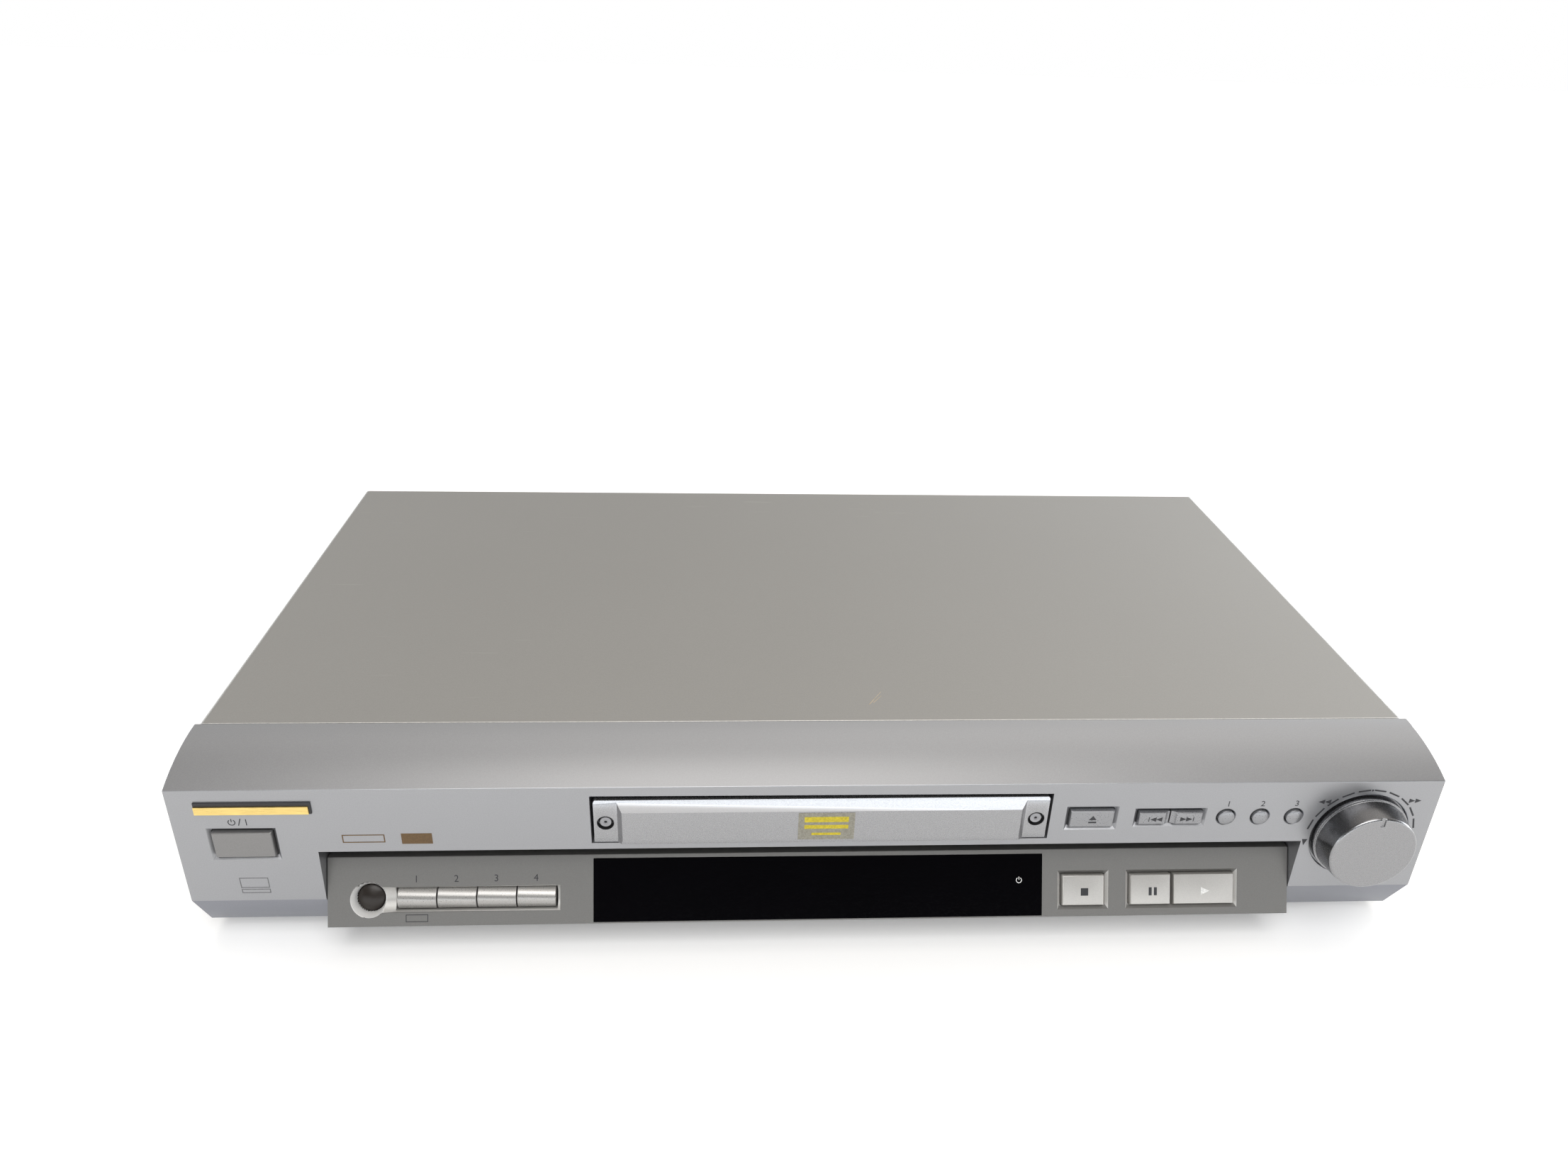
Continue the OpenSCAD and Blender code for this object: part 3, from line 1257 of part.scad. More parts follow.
module traverse_chassis() in_case() color([0.2, 0.2, 0.22]) difference() {
    union() {
        block([-plate_half, plate_y[0], plate_z[0]], [plate_half, plate_y[1], plate_z[1]]);
        for (side = [0, 1]) mirror([side, 0, 0]) {
            translate([0, pivot_y, pivot_z]) bar_x(post_r, plate_half - 1, window_half + 3.6);
            block([plate_half - 4, pivot_y - 3, plate_z[1] - 0.1], [plate_half, pivot_y + 3, pivot_z + 3]);
            for (y = rod_y) block([rod_x - 3, y - 1.6, plate_z[1] - 0.1], [rod_x + 3, y + 1.6, rod_z + 3]);
        }
        translate([cam_pin_x, 0, cam_pin_z]) bar_y(post_r, cam_y[0] - 0.2, plate_y[0] + 1);
        block([screw_x - 3, rod_y[1] - 1.6, plate_z[1] - 0.1], [screw_x + 3, rod_y[1] + 1.6, rod_z + 3]);
    }
    block([-23, sled_y[0] + 1, plate_z[0] - through], [23, rod_y[1] - 9, plate_z[1] + through]);
    translate([0, spindle_y, plate_z[0] - through]) cylinder(r = 5.6, h = 5);
    for (side = [-1, 1]) translate([side * rod_x, 0, rod_z])
        bar_y(rod_r + 0.02, rod_y[0] - 0.6, rod_y[1] + 0.6);
    translate([screw_x, 0, rod_z]) bar_y(screw_thread_r + fit, rod_y[1] - 3, rod_y[1] + 0.6);
    bush_places() translate([0, 0, plate_z[0] - through]) cylinder(r = 1.4, h = 5);
}

module bush_places()
    for (side = [-1, 1], p = [[29, plate_y[0] + 6], [20, plate_y[1] - 6]])
        translate([side * p[0], p[1], 0]) children();

module damper_bushes() in_case() color([0.1, 0.1, 0.1])
    bush_places() translate([0, 0, plate_z[1]]) rotate_extrude()
        polygon([[1.5, 0], [3.6, 0], [3.6, 1], [2.6, 1.4], [3.6, 1.8], [3.6, 2.8], [1.5, 2.8]]);

module spindle_motor() in_case() color("silver") translate([0, spindle_y, 0]) difference() {
    union() {
        translate([0, 0, plate_z[0] - 7]) cylinder(r = 12, h = 7);
        translate([0, 0, plate_z[0] - 0.1]) cylinder(r = 5.3, h = 5);
    }
    translate([0, 0, plate_z[0] - 5]) cylinder(r = 1 + fit, h = 12);
}

module turntable() in_case() color([0.16, 0.16, 0.17]) translate([0, spindle_y, 0]) {
    hub_z = plate_z[1] + 8;
    rotate_extrude() polygon([
        [0, hub_z], [4, hub_z], [5, disc_z - 2.4], [turntable_r - 0.6, disc_z - 2.4],
        [turntable_r, disc_z - 1.8], [turntable_r, disc_z - 0.2], [turntable_r - 0.2, disc_z],
        [7.3, disc_z], [7.2, disc_z + 1], [5.6, disc_z + 2.2], [0, disc_z + 2.2]]);
    translate([0, 0, plate_z[0] - 4.6]) cylinder(r = 1, h = hub_z + 0.1 - plate_z[0] + 4.6);
}

module guide_rods() in_case() color("silver")
    for (side = [-1, 1]) translate([side * rod_x, 0, rod_z]) bar_y(rod_r, rod_y[0] - 0.5, rod_y[1] + 0.5);

module sled_motor() in_case() color("silver") translate([screw_x, 0, rod_z]) difference() {
    union() {
        bar_y(5, sled_motor_y[0], sled_motor_y[1]);
        translate([0, 0, plate_z[1] - rod_z])
            block([-5, sled_motor_y[1] - 1.6, 0], [5, sled_motor_y[1], 5]);
    }
    bar_y(screw_shaft_r + fit, sled_motor_y[1] - 7, sled_motor_y[1] + through);
}

module lead_screw() in_case() color("gainsboro") translate([screw_x, 0, rod_z]) {
    bar_y(screw_shaft_r, sled_motor_y[1] - 6, sled_motor_y[1] + 2);
    bar_y(screw_thread_r, sled_motor_y[1] + 1.6, rod_y[1] + 0.4);
}

module pickup_sled() in_case() color([0.55, 0.55, 0.57]) difference() {
    union() {
        block([-rod_x - 3.2, sled_y[0], sled_z[0]], [-14, sled_y[1], sled_z[1]]);
        block([-14.1, sled_y[0] + 2, sled_z[0]], [14.1, sled_y[1] - 2, sled_z[1]]);
        block([14, sled_y[0] + 6, sled_z[0]], [rod_x + 3.2, sled_y[1] - 6, sled_z[1]]);
    }
    translate([-rod_x, 0, rod_z]) bar_y(rod_r + fit, sled_y[0] - through, sled_y[1] + through);
    translate([rod_x, sled_y[0], rod_z]) block([-rod_r - 0.1, 0, -rod_r - fit], [8, 30, rod_r + fit]);
    translate([screw_x, 0, rod_z]) bar_y(screw_thread_r + slack, sled_y[0], sled_y[1]);
    block([-9, lens_y + 6, sled_z[1] - 2], [9, sled_y[1] - 4, sled_z[1] + through]);
}

module objective_lens() in_case() color([0.35, 0.45, 0.6]) translate([0, lens_y, sled_z[1]]) {
    linear_extrude(1.4) square([9, 8], center = true);
    intersection() {
        translate([0, 0, 1.3]) cylinder(r = 2.4, h = 1.2);
        translate([0, 0, -2.6]) sphere(r = 5.1);
    }
}

// ---------------------------------------------------------------- assembly

chassis_pan();
rear_panel();
top_cover();
fascia();
control_panel();
display_window();
display_tube();
front_pcb();
console_pcb();
panel_switches();
feet();
case_screws();
board_screws();
mains_inlet();
av_jacks();
video_sockets();
main_pcb();
power_pcb();
mains_transformer();
filter_capacitors();
heat_sink();
flat_cables();
loader_frame();
loading_motor();
drive_belt();
clamper_bridge();
disc_tray();
tray_door();
door_screws();
motor_pulley();
pulley_gear();
drive_gear();
slide_cam();
traverse_chassis();
damper_bushes();
spindle_motor();
guide_rods();
sled_motor();
turntable();
lead_screw();
pickup_sled();
objective_lens();
clamper();
power_button();
open_button();
skip_back_button();
skip_forward_button();
mode_button_1();
mode_button_2();
mode_button_3();
shuttle_dial();
memory_button();
sound_button_1();
sound_button_2();
sound_button_3();
sound_button_4();
stop_button();
pause_button();
play_button();
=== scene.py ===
"""Looks of a full-width disc player with a motorised tray.

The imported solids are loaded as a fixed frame. This script rounds the edges of the visible mouldings, gives
every piece its finish, prints the marks on the front, adds the small hardware, and sets a plain studio.
"""

from __future__ import annotations

import json
import logging
import math
from dataclasses import dataclass, field
from enum import Enum
from typing import Callable, Iterable, Sequence

import bmesh
import bpy
from bmesh.types import BMesh
from bpy.types import ID, Material, Mesh, Node, NodeSocket, NodeTree, Object
from mathutils import Matrix, Vector
from mathutils.bvhtree import BVHTree
from mathutils.kdtree import KDTree

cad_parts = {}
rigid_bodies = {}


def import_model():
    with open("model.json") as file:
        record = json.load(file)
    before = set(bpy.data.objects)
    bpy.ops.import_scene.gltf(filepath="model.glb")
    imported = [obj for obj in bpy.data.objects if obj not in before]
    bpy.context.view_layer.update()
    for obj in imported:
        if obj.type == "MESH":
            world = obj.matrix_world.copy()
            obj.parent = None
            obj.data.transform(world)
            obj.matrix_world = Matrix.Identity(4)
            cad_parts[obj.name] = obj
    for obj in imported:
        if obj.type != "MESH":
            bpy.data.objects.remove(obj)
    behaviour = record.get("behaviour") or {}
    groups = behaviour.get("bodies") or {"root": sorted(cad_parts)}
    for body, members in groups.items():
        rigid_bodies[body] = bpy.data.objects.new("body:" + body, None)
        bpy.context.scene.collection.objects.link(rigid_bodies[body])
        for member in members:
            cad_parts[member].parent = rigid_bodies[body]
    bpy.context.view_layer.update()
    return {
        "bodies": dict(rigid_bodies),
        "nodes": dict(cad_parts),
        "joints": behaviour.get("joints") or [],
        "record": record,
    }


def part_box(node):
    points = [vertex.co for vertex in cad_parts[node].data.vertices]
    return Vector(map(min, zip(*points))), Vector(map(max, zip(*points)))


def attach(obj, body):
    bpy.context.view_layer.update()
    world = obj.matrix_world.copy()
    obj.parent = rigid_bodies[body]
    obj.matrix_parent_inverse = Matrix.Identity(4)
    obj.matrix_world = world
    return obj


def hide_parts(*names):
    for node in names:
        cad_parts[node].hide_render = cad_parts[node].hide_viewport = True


LOG = logging.getLogger("disc_player")
MM = 0.001
WELD = 0.004 * MM  # corners of the solids closer than this are one
HAIR = 0.99  # scale of the grown hardware, a hair smaller than the solids under it

Pair = tuple[float, float]
Pairs = tuple[Pair, ...]
Triple = tuple[float, float, float]
Colour = Triple
Outline = list[Pair]
Seats = list[tuple[Vector, Vector]]
Chosen = Callable[[Vector, Vector], bool]


class Side(Enum):
    """The two sides of the front."""

    LEFT = -1
    RIGHT = 1


# ---------------------------------------------------------------------------- node trees


class Tree:
    """A node tree under construction."""

    prefix = "ShaderNode"

    def __init__(self, tree: NodeTree) -> None:
        """Keeps the tree."""
        self.tree = tree

    def feed(self, socket: NodeSocket, value: object) -> None:
        """Joins an output to an input socket, or sets the input's own value.

        Args:
            socket: The input.
            value: The output, or the value; a colour has three numbers.
        """
        if isinstance(value, NodeSocket):
            self.tree.links.new(value, socket)
        else:
            socket.default_value = (*value, 1.0) if socket.type == "RGBA" else value

    def node(self, kind: str, feeds: dict[int | str, object] | None = None, **settings: object) -> Node:
        """Adds a node.

        Args:
            kind: The node's type name; the tree's prefix may be left out.
            feeds: Input name or index to a socket or a value.
            **settings: Properties of the node.

        Returns:
            The new node.
        """
        made = self.tree.nodes.new(kind if "Node" in kind else self.prefix + kind)
        for key, value in settings.items():
            setattr(made, key, value)
        for key, value in (feeds or {}).items():
            self.feed(made.inputs[key], value)
        return made

    def sum(self, operation: str, *values: object) -> NodeSocket:
        """Result socket of a sum of numbers or sockets."""
        return self.node("ShaderNodeMath", dict(enumerate(values)), operation=operation).outputs[0]

    def blend(self, factor: object, first: object, second: object) -> NodeSocket:
        """Colour socket between two colours, by the share of the second one."""
        return self.node("Mix", {0: factor, 6: first, 7: second}, data_type="RGBA").outputs[2]

    def remap(
        self, value: NodeSocket, low: float = 0.3, high: float = 0.7, to_low: float = 0.0,
        to_high: float = 1.0, **settings: object,
    ) -> NodeSocket:
        """Socket with low..high of a value stretched onto to_low..to_high, clamped."""
        feeds = {"Value": value, "From Min": low, "From Max": high, "To Min": to_low, "To Max": to_high}
        return self.node("MapRange", feeds, **settings).outputs["Result"]


class Shader(Tree):
    """A material under construction: one Principled shader and the nodes that feed it."""

    def __init__(self, name: str) -> None:
        """Starts a material with a Principled shader.

        Args:
            name: The material's name.
        """
        self.material = bpy.data.materials.new(name)
        self.material.use_nodes = True
        super().__init__(self.material.node_tree)
        self.surface = self.tree.nodes["Principled BSDF"].inputs
        self.place = self.node("TexCoord").outputs["Object"]

    def set(self, **values: object) -> None:
        """Sets or feeds inputs of the Principled shader; an underscore in a name stands for a space."""
        for key, value in values.items():
            self.feed(self.surface[key.replace("_", " ")], value)

    def stretched(self, scale: Sequence[float], turn: Sequence[float] = (0, 0, 0)) -> NodeSocket:
        """Object coordinates, turned by angles in degrees and then scaled along each axis."""
        feeds = {"Vector": self.place, "Rotation": [math.radians(a) for a in turn], "Scale": scale}
        return self.node("Mapping", feeds).outputs["Vector"]

    def noise(self, scale: float, detail: float = 2.0, place: NodeSocket | None = None) -> NodeSocket:
        """Noise from 0 to 1, by its waves to a metre, its octaves, and where it is read."""
        feeds = {"Scale": scale, "Detail": detail, "Vector": place or self.place}
        return self.node("TexNoise", feeds).outputs["Fac"]

    def vary(self, factor: NodeSocket, colour: Colour, low: float, high: float) -> NodeSocket:
        """Colour socket between a darker and a lighter shade of a colour."""
        return self.blend(factor, shade(colour, low), shade(colour, high))

    def bump(self, height: NodeSocket, depth: float, strength: float) -> None:
        """Feeds the normal from a pattern, by its height in metres and the share that shows."""
        feeds = {"Strength": strength, "Distance": depth, "Height": height}
        self.set(Normal=self.node("Bump", feeds).outputs["Normal"])


class Growth(Tree):
    """A Geometry Nodes tree under construction."""

    prefix = "GeometryNode"

    def __init__(self, name: str, **inputs: str) -> None:
        """Starts a tree with a geometry input, further inputs and a geometry output.

        Args:
            name: The tree's name.
            **inputs: Type of each further input.
        """
        super().__init__(bpy.data.node_groups.new(name, "GeometryNodeTree"))
        sockets = self.tree.interface
        for key, kind in {"Geometry": "Geometry", **inputs}.items():
            sockets.new_socket(key, in_out="INPUT", socket_type="NodeSocket" + kind)
        sockets.new_socket("Geometry", in_out="OUTPUT", socket_type="NodeSocketGeometry")
        self.entry = self.tree.nodes.new("NodeGroupInput").outputs
        self.end = self.tree.nodes.new("NodeGroupOutput").inputs

    def vector(self, x: object, y: object, z: object) -> NodeSocket:
        """Vector socket of three numbers or sockets."""
        return self.node("ShaderNodeCombineXYZ", {"X": x, "Y": y, "Z": z}).outputs["Vector"]

    def finish(self, finish: Finish, feeds: dict[str, object]) -> None:
        """Stands instances on points, makes them real in a finish, and closes the tree.

        Args:
            finish: What the instances are made of.
            feeds: Inputs of the node that places them.
        """
        placed = self.node("InstanceOnPoints", feeds).outputs["Instances"]
        real = self.node("RealizeInstances", {"Geometry": placed}).outputs["Geometry"]
        painted = self.node("SetMaterial", {"Geometry": real, "Material": finish.build()})
        self.feed(self.end["Geometry"], painted.outputs["Geometry"])

    def grow(self, name: str, source: Mesh, values: dict[str, object]) -> Object:
        """Runs the tree on a mesh and keeps the result as a plain mesh.

        Args:
            name: The new piece's name.
            source: The mesh that the tree starts from.
            values: Input name to value.

        Returns:
            The piece.
        """
        piece = add_object(name, source)
        modifier = piece.modifiers.new(name, "NODES")
        modifier.node_group = self.tree
        for item in self.tree.interface.items_tree:
            if item.in_out == "INPUT" and item.name in values:
                modifier[item.identifier] = values[item.name]
        bake(piece)
        smooth_by_angle(piece.data)
        return piece


# ---------------------------------------------------------------------------- finishes


def shade(colour: Colour, factor: float) -> Colour:
    """The colour, lighter or darker by a factor."""
    return tuple(min(1.0, c * factor) for c in colour)


@dataclass(frozen=True)
class Finish:
    """What every finish has: a name and a colour."""

    name: str
    colour: Colour

    def build(self) -> Material:
        """The finish as a material, made once."""
        return bpy.data.materials.get(self.name) or self.make()

    def make(self) -> Material:
        """Builds the material; each kind of finish has its own."""
        raise NotImplementedError


@dataclass(frozen=True)
class FlakePaint(Finish):
    """Silver paint with fine metal flake over a moulding or a steel sheet."""

    roughness: float = 0.42
    metallic: float = 0.45
    flake: float = 0.10
    cloud: float = 0.02
    scuffs: float = 0.0
    flake_scale: float = 2600.0
    orange_peel: float = 0.004 * MM

    def make(self) -> Material:
        """Flake as fine bright and dark specks, faint clouding, and rub marks where the paint has them.

        Returns:
            The material.
        """
        shader = Shader(self.name)
        specks = shader.remap(shader.noise(self.flake_scale, 3.0))
        fine = shader.vary(specks, self.colour, 1 - self.flake, 1 + self.flake)
        clouds = shader.remap(shader.noise(9.0, 3.0))
        broad = shader.vary(clouds, self.colour, 1 - self.cloud, 1 + self.cloud)
        result = shader.blend(0.5, fine, broad)
        if self.scuffs:
            streaks = shader.noise(1.0, 2.0, shader.stretched((26, 420, 1), (0, 0, 63)))
            patches = shader.remap(shader.noise(14.0), 0.56, 0.66)
            thin = shader.remap(streaks, 0.685, 0.70, 0.0, self.scuffs)
            result = shader.blend(shader.sum("MULTIPLY", thin, patches), result, shade(self.colour, 1.35))
        rough = shader.remap(specks, 0.0, 1.0, self.roughness - 0.04, self.roughness + 0.05)
        shader.set(Metallic=self.metallic, Specular_IOR_Level=0.5, Base_Color=result, Roughness=rough)
        shader.bump(shader.noise(self.flake_scale * 0.45), self.orange_peel, 0.35)
        return shader.material


@dataclass(frozen=True)
class Moulding(Finish):
    """Plain moulded plastic with a spark-eroded or polished face."""

    roughness: float = 0.5
    level: float = 0.5
    grain: float = 0.02 * MM
    grain_scale: float = 1500.0

    def make(self) -> Material:
        """Fine grain in the surface and slight unevenness of colour.

        Returns:
            The material.
        """
        shader = Shader(self.name)
        tone = shader.remap(shader.noise(60.0, 4.0))
        grain = shader.noise(self.grain_scale, 3.0)
        shader.set(
            Specular_IOR_Level=self.level, Base_Color=shader.vary(tone, self.colour, 0.9, 1.1),
            Roughness=shader.remap(grain, 0.3, 0.7, self.roughness - 0.05, self.roughness + 0.06),
        )
        shader.bump(grain, self.grain, 0.5)
        return shader.material


@dataclass(frozen=True)
class Metal(Finish):
    """Bare or plated metal, with brushing along one axis or a spangle."""

    roughness: float = 0.3
    brush: Triple = (900.0, 900.0, 900.0)
    spangle: float = 0.0
    depth: float = 0.006 * MM

    def make(self) -> Material:
        """Brushed lines or zinc spangle over bright metal.

        Returns:
            The material.
        """
        shader = Shader(self.name)
        lines = shader.noise(1.0, 3.0, shader.stretched(self.brush))
        colour = shader.vary(shader.remap(lines), self.colour, 0.86, 1.08)
        if self.spangle:
            cells = shader.node("TexVoronoi", {"Scale": self.spangle, "Vector": shader.place})
            patches = shader.remap(cells.outputs["Distance"], 0.1, 0.7, 0.0, 0.5)
            colour = shader.blend(patches, colour, shade(self.colour, 0.78))
        rough = shader.remap(lines, 0.3, 0.7, self.roughness - 0.06, self.roughness + 0.08)
        shader.set(Metallic=1.0, Base_Color=colour, Roughness=rough)
        shader.bump(lines, self.depth, 0.4)
        return shader.material


@dataclass(frozen=True)
class Ink(Finish):
    """Screen-printed ink."""

    roughness: float = 0.55

    def make(self) -> Material:
        """Slightly uneven cover, as a printed mark has.

        Returns:
            The material.
        """
        shader = Shader(self.name)
        cover = shader.remap(shader.noise(1800.0, 3.0), 0.35, 0.65)
        rough = shader.remap(cover, 0.0, 1.0, self.roughness - 0.05, self.roughness + 0.05)
        shader.set(Base_Color=shader.vary(cover, self.colour, 0.85, 1.2), Roughness=rough)
        return shader.material


@dataclass(frozen=True)
class Glass(Finish):
    """Clear or tinted glass."""

    roughness: float = 0.05
    clarity: float = 0.6

    def make(self) -> Material:
        """Glass with a faint haze.

        Returns:
            The material.
        """
        shader = Shader(self.name)
        haze = shader.remap(shader.noise(40.0, 3.0))
        shader.set(
            Transmission_Weight=self.clarity, IOR=1.45,
            Base_Color=shader.vary(haze, self.colour, 0.85, 1.1),
            Roughness=shader.remap(haze, 0.0, 1.0, self.roughness, self.roughness + 0.08),
        )
        return shader.material


# name, colour, roughness, and how metallic the paint is
FASCIA_PAINT = FlakePaint("fascia_silver_paint", (0.358, 0.362, 0.376), 0.34, 0.75)
# darker copy of the fascia paint: painted shade on the chin, which faces down
CHIN_SHADE_PAINT = FlakePaint("chin_silver_paint", (0.265, 0.272, 0.30), 0.38, 0.7)
DOOR_PAINT = FlakePaint("door_silver_paint", (0.348, 0.350, 0.361), 0.27, 0.85)
# brighter, glossier copy of the door paint: painted highlight on the door's top bevel
BEVEL_HIGHLIGHT_PAINT = FlakePaint("door_bevel_paint", (0.44, 0.44, 0.45), 0.13, 0.9, flake=0.04)
# darker copy of the door paint: painted shade on the door's side cheeks
CHEEK_SHADE_PAINT = FlakePaint("door_cheek_paint", (0.215, 0.215, 0.225), 0.3, 0.8)
PANEL_PAINT = FlakePaint("panel_warm_grey_paint", (0.20, 0.196, 0.188), 0.40)
# pale paint in the console's dish: painted highlight
DISH_HIGHLIGHT_PAINT = FlakePaint("dish_pale_paint", (0.86, 0.855, 0.84), 0.4, 0.2)
# pale paint in the console's wells: painted highlight
CHANNEL_HIGHLIGHT_PAINT = FlakePaint("channel_pale_paint", (0.56, 0.55, 0.53), 0.4, 0.3)
KEY_PAINT = FlakePaint("key_warm_silver_paint", (0.54, 0.525, 0.50), 0.34, 0.5)
SOUND_PAINT = FlakePaint("sound_key_silver_paint", (0.44, 0.43, 0.415), 0.30, 0.5)
POWER_PAINT = FlakePaint("power_key_paint", (0.25, 0.246, 0.244), 0.32, 0.6)
UPPER_KEY_PAINT = FlakePaint("upper_key_silver_paint", (0.305, 0.308, 0.32), 0.30, 0.65)
DIAL_PAINT = FlakePaint("dial_satin_silver", (0.305, 0.306, 0.314), 0.26, 0.92, flake=0.06, cloud=0.05)
# darker copy of the dial paint: painted shade on the dial's side
DIAL_SIDE_SHADE_PAINT = FlakePaint("dial_side_silver", (0.17, 0.17, 0.175), 0.24, 0.95, flake=0.05)
COVER_PAINT = FlakePaint("cover_silver_grey_paint", (0.305, 0.296, 0.279), scuffs=0.35)
# name, colour, roughness
WINDOW_BLACK = Moulding("window_smoked_black", (0.0012, 0.001, 0.0016), 0.06, level=0.13, grain=0.0)
DARK_KEY = Moulding("memory_key_brown_black", (0.022, 0.017, 0.014), 0.34, level=0.4)
# black moulding inside; also painted shade on the walls of the door's screw wells
BLACK_MOULDING_AND_SHADE = Moulding("inner_black_moulding", (0.018, 0.018, 0.019), 0.55)
FOOT_BLACK = Moulding("foot_black_moulding", (0.022, 0.022, 0.024), 0.6)
BOARD_DARK = Moulding("board_dark_mask", (0.006, 0.008, 0.007), 0.35)
BOARD_GREEN = Moulding("board_green_mask", (0.02, 0.11, 0.05), 0.35)
BOARD_TAN = Moulding("board_phenolic_tan", (0.36, 0.22, 0.09))
PEG_GREY = Moulding("door_peg_grey", (0.40, 0.40, 0.415), 0.38)
ACETAL = Moulding("acetal_white", (0.72, 0.72, 0.68), 0.38)
CABLE_WHITE = Moulding("flat_cable_white", (0.7, 0.7, 0.66), 0.4)
RUBBER = Moulding("rubber_black", (0.012, 0.012, 0.012), 0.75, level=0.3)
CAPACITOR = Moulding("capacitor_sleeve_blue", (0.012, 0.02, 0.07), 0.25)
TURNTABLE = Moulding("turntable_grey", (0.055, 0.055, 0.06), 0.45)
# near-white metal on the cover's front edge: painted highlight
EDGE_HIGHLIGHT_METAL = Metal("cover_edge_bare_steel", (0.92, 0.91, 0.89), 0.42)
ZINC = Metal("zinc_plated_sheet", (0.56, 0.56, 0.54), 0.38, spangle=130.0)
BRIGHT_STEEL = Metal("bright_steel", (0.66, 0.66, 0.65), 0.24)
SCREW_STEEL = Metal("screw_dark_steel", (0.22, 0.22, 0.225), 0.34)
NICKEL = Metal("jack_nickel_plate", (0.72, 0.68, 0.60), 0.2)
COPPER = Metal("varnished_core", (0.30, 0.16, 0.07), 0.45, brush=(100, 100, 1600))
HEAT_SINK = Metal("extruded_aluminium", (0.62, 0.62, 0.62), 0.35, brush=(200, 200, 2400))
DIE_CAST = Metal("die_cast_alloy", (0.36, 0.36, 0.37), 0.45)
GILT = Metal("badge_gilt", (0.80, 0.60, 0.22), brush=(200, 2500, 2500))
TUBE_GLASS = Glass("display_tube_glass", (0.06, 0.10, 0.10))
LENS_GLASS = Glass("objective_lens_glass", (0.45, 0.55, 0.75), clarity=0.7)
BLACK_INK = Ink("print_charcoal_ink", (0.028, 0.028, 0.032))
WHITE_INK = Ink("print_white_ink", (0.80, 0.80, 0.78))
BROWN_INK = Ink("print_brown_ink", (0.13, 0.075, 0.028))
GREY_INK = Ink("print_grey_ink", (0.16, 0.16, 0.165))
YELLOW_INK = Ink("plate_yellow_ink", (0.62, 0.50, 0.03))
PLATE_GREY = Ink("plate_olive_grey", (0.30, 0.285, 0.235))
RUB_MARK = Ink("rub_mark_tan", (0.46, 0.36, 0.24), 0.5)
JACK_YELLOW = Moulding("jack_yellow", (0.70, 0.50, 0.02), 0.35)
JACK_WHITE = Moulding("jack_white", (0.75, 0.75, 0.72), 0.35)
JACK_RED = Moulding("jack_red", (0.45, 0.02, 0.015), 0.35)
JACK_GREEN = Moulding("jack_green", (0.03, 0.30, 0.08), 0.35)
JACK_BLUE = Moulding("jack_blue", (0.03, 0.09, 0.42), 0.35)
JACK_BLACK = Moulding("jack_black", (0.02, 0.02, 0.02), 0.4)
# lower and upper row, from the left
JACK_COLOURS: tuple[tuple[Finish, ...], ...] = (
    (JACK_YELLOW, JACK_WHITE, JACK_RED, JACK_BLACK), (JACK_GREEN, JACK_BLUE, JACK_RED, JACK_WHITE),
)

NODES_OF_FINISH: dict[Finish, str] = {
    ZINC: "chassis_pan rear_panel clamper_bridge", COVER_PAINT: "top_cover", FASCIA_PAINT: "fascia",
    PANEL_PAINT: "control_panel", WINDOW_BLACK: "display_window", TUBE_GLASS: "display_tube",
    BOARD_DARK: "front_pcb console_pcb", BOARD_GREEN: "main_pcb", BOARD_TAN: "power_pcb",
    BLACK_MOULDING_AND_SHADE: "panel_switches mains_inlet video_sockets loader_frame disc_tray traverse_chassis",
    BRIGHT_STEEL: "board_screws loading_motor spindle_motor guide_rods sled_motor lead_screw",
    SCREW_STEEL: "case_screws", FOOT_BLACK: "feet", NICKEL: "av_jacks", COPPER: "mains_transformer",
    CAPACITOR: "filter_capacitors", HEAT_SINK: "heat_sink", CABLE_WHITE: "flat_cables",
    RUBBER: "drive_belt damper_bushes", DOOR_PAINT: "tray_door", PEG_GREY: "door_screws",
    ACETAL: "motor_pulley pulley_gear drive_gear slide_cam clamper", TURNTABLE: "turntable",
    DIE_CAST: "pickup_sled", LENS_GLASS: "objective_lens", DIAL_PAINT: "shuttle_dial",
    UPPER_KEY_PAINT:
        "open_button skip_back_button skip_forward_button mode_button_1 mode_button_2 mode_button_3",
    POWER_PAINT: "power_button", DARK_KEY: "memory_button",
    SOUND_PAINT: "sound_button_1 sound_button_2 sound_button_3 sound_button_4",
    KEY_PAINT: "stop_button pause_button play_button",
}
NODE_FINISH = {node: finish for finish, nodes in NODES_OF_FINISH.items() for node in nodes.split()}


# ---------------------------------------------------------------------------- meshes


def add_object(name: str, data: ID, finish: Finish | None = None) -> Object:
    """Links a mesh, a curve, a lamp or a camera into the scene as an object at the origin.

    Args:
        name: The object's name.
        data: The mesh, placed in its vertices, or the other data.
        finish: What a mesh is made of, if it holds no material yet.

    Returns:
        The object.
    """
    piece = bpy.data.objects.new(name, data)
    bpy.context.scene.collection.objects.link(piece)
    if finish is not None:
        data.materials.append(finish.build())
    return piece


def mesh_of(name: str, work: BMesh) -> Mesh:
    """Turns a bmesh into a mesh, its normals outwards, and frees it.

    Args:
        name: The mesh's name.
        work: The bmesh.

    Returns:
        The mesh.
    """
    bmesh.ops.recalc_face_normals(work, faces=work.faces)
    mesh = bpy.data.meshes.new(name)
    work.to_mesh(mesh)
    work.free()
    return mesh


def evaluated(piece: Object) -> Mesh:
    """A new mesh of a piece, as its modifiers or its curve leave it."""
    graph = bpy.context.evaluated_depsgraph_get()
    return bpy.data.meshes.new_from_object(piece.evaluated_get(graph))


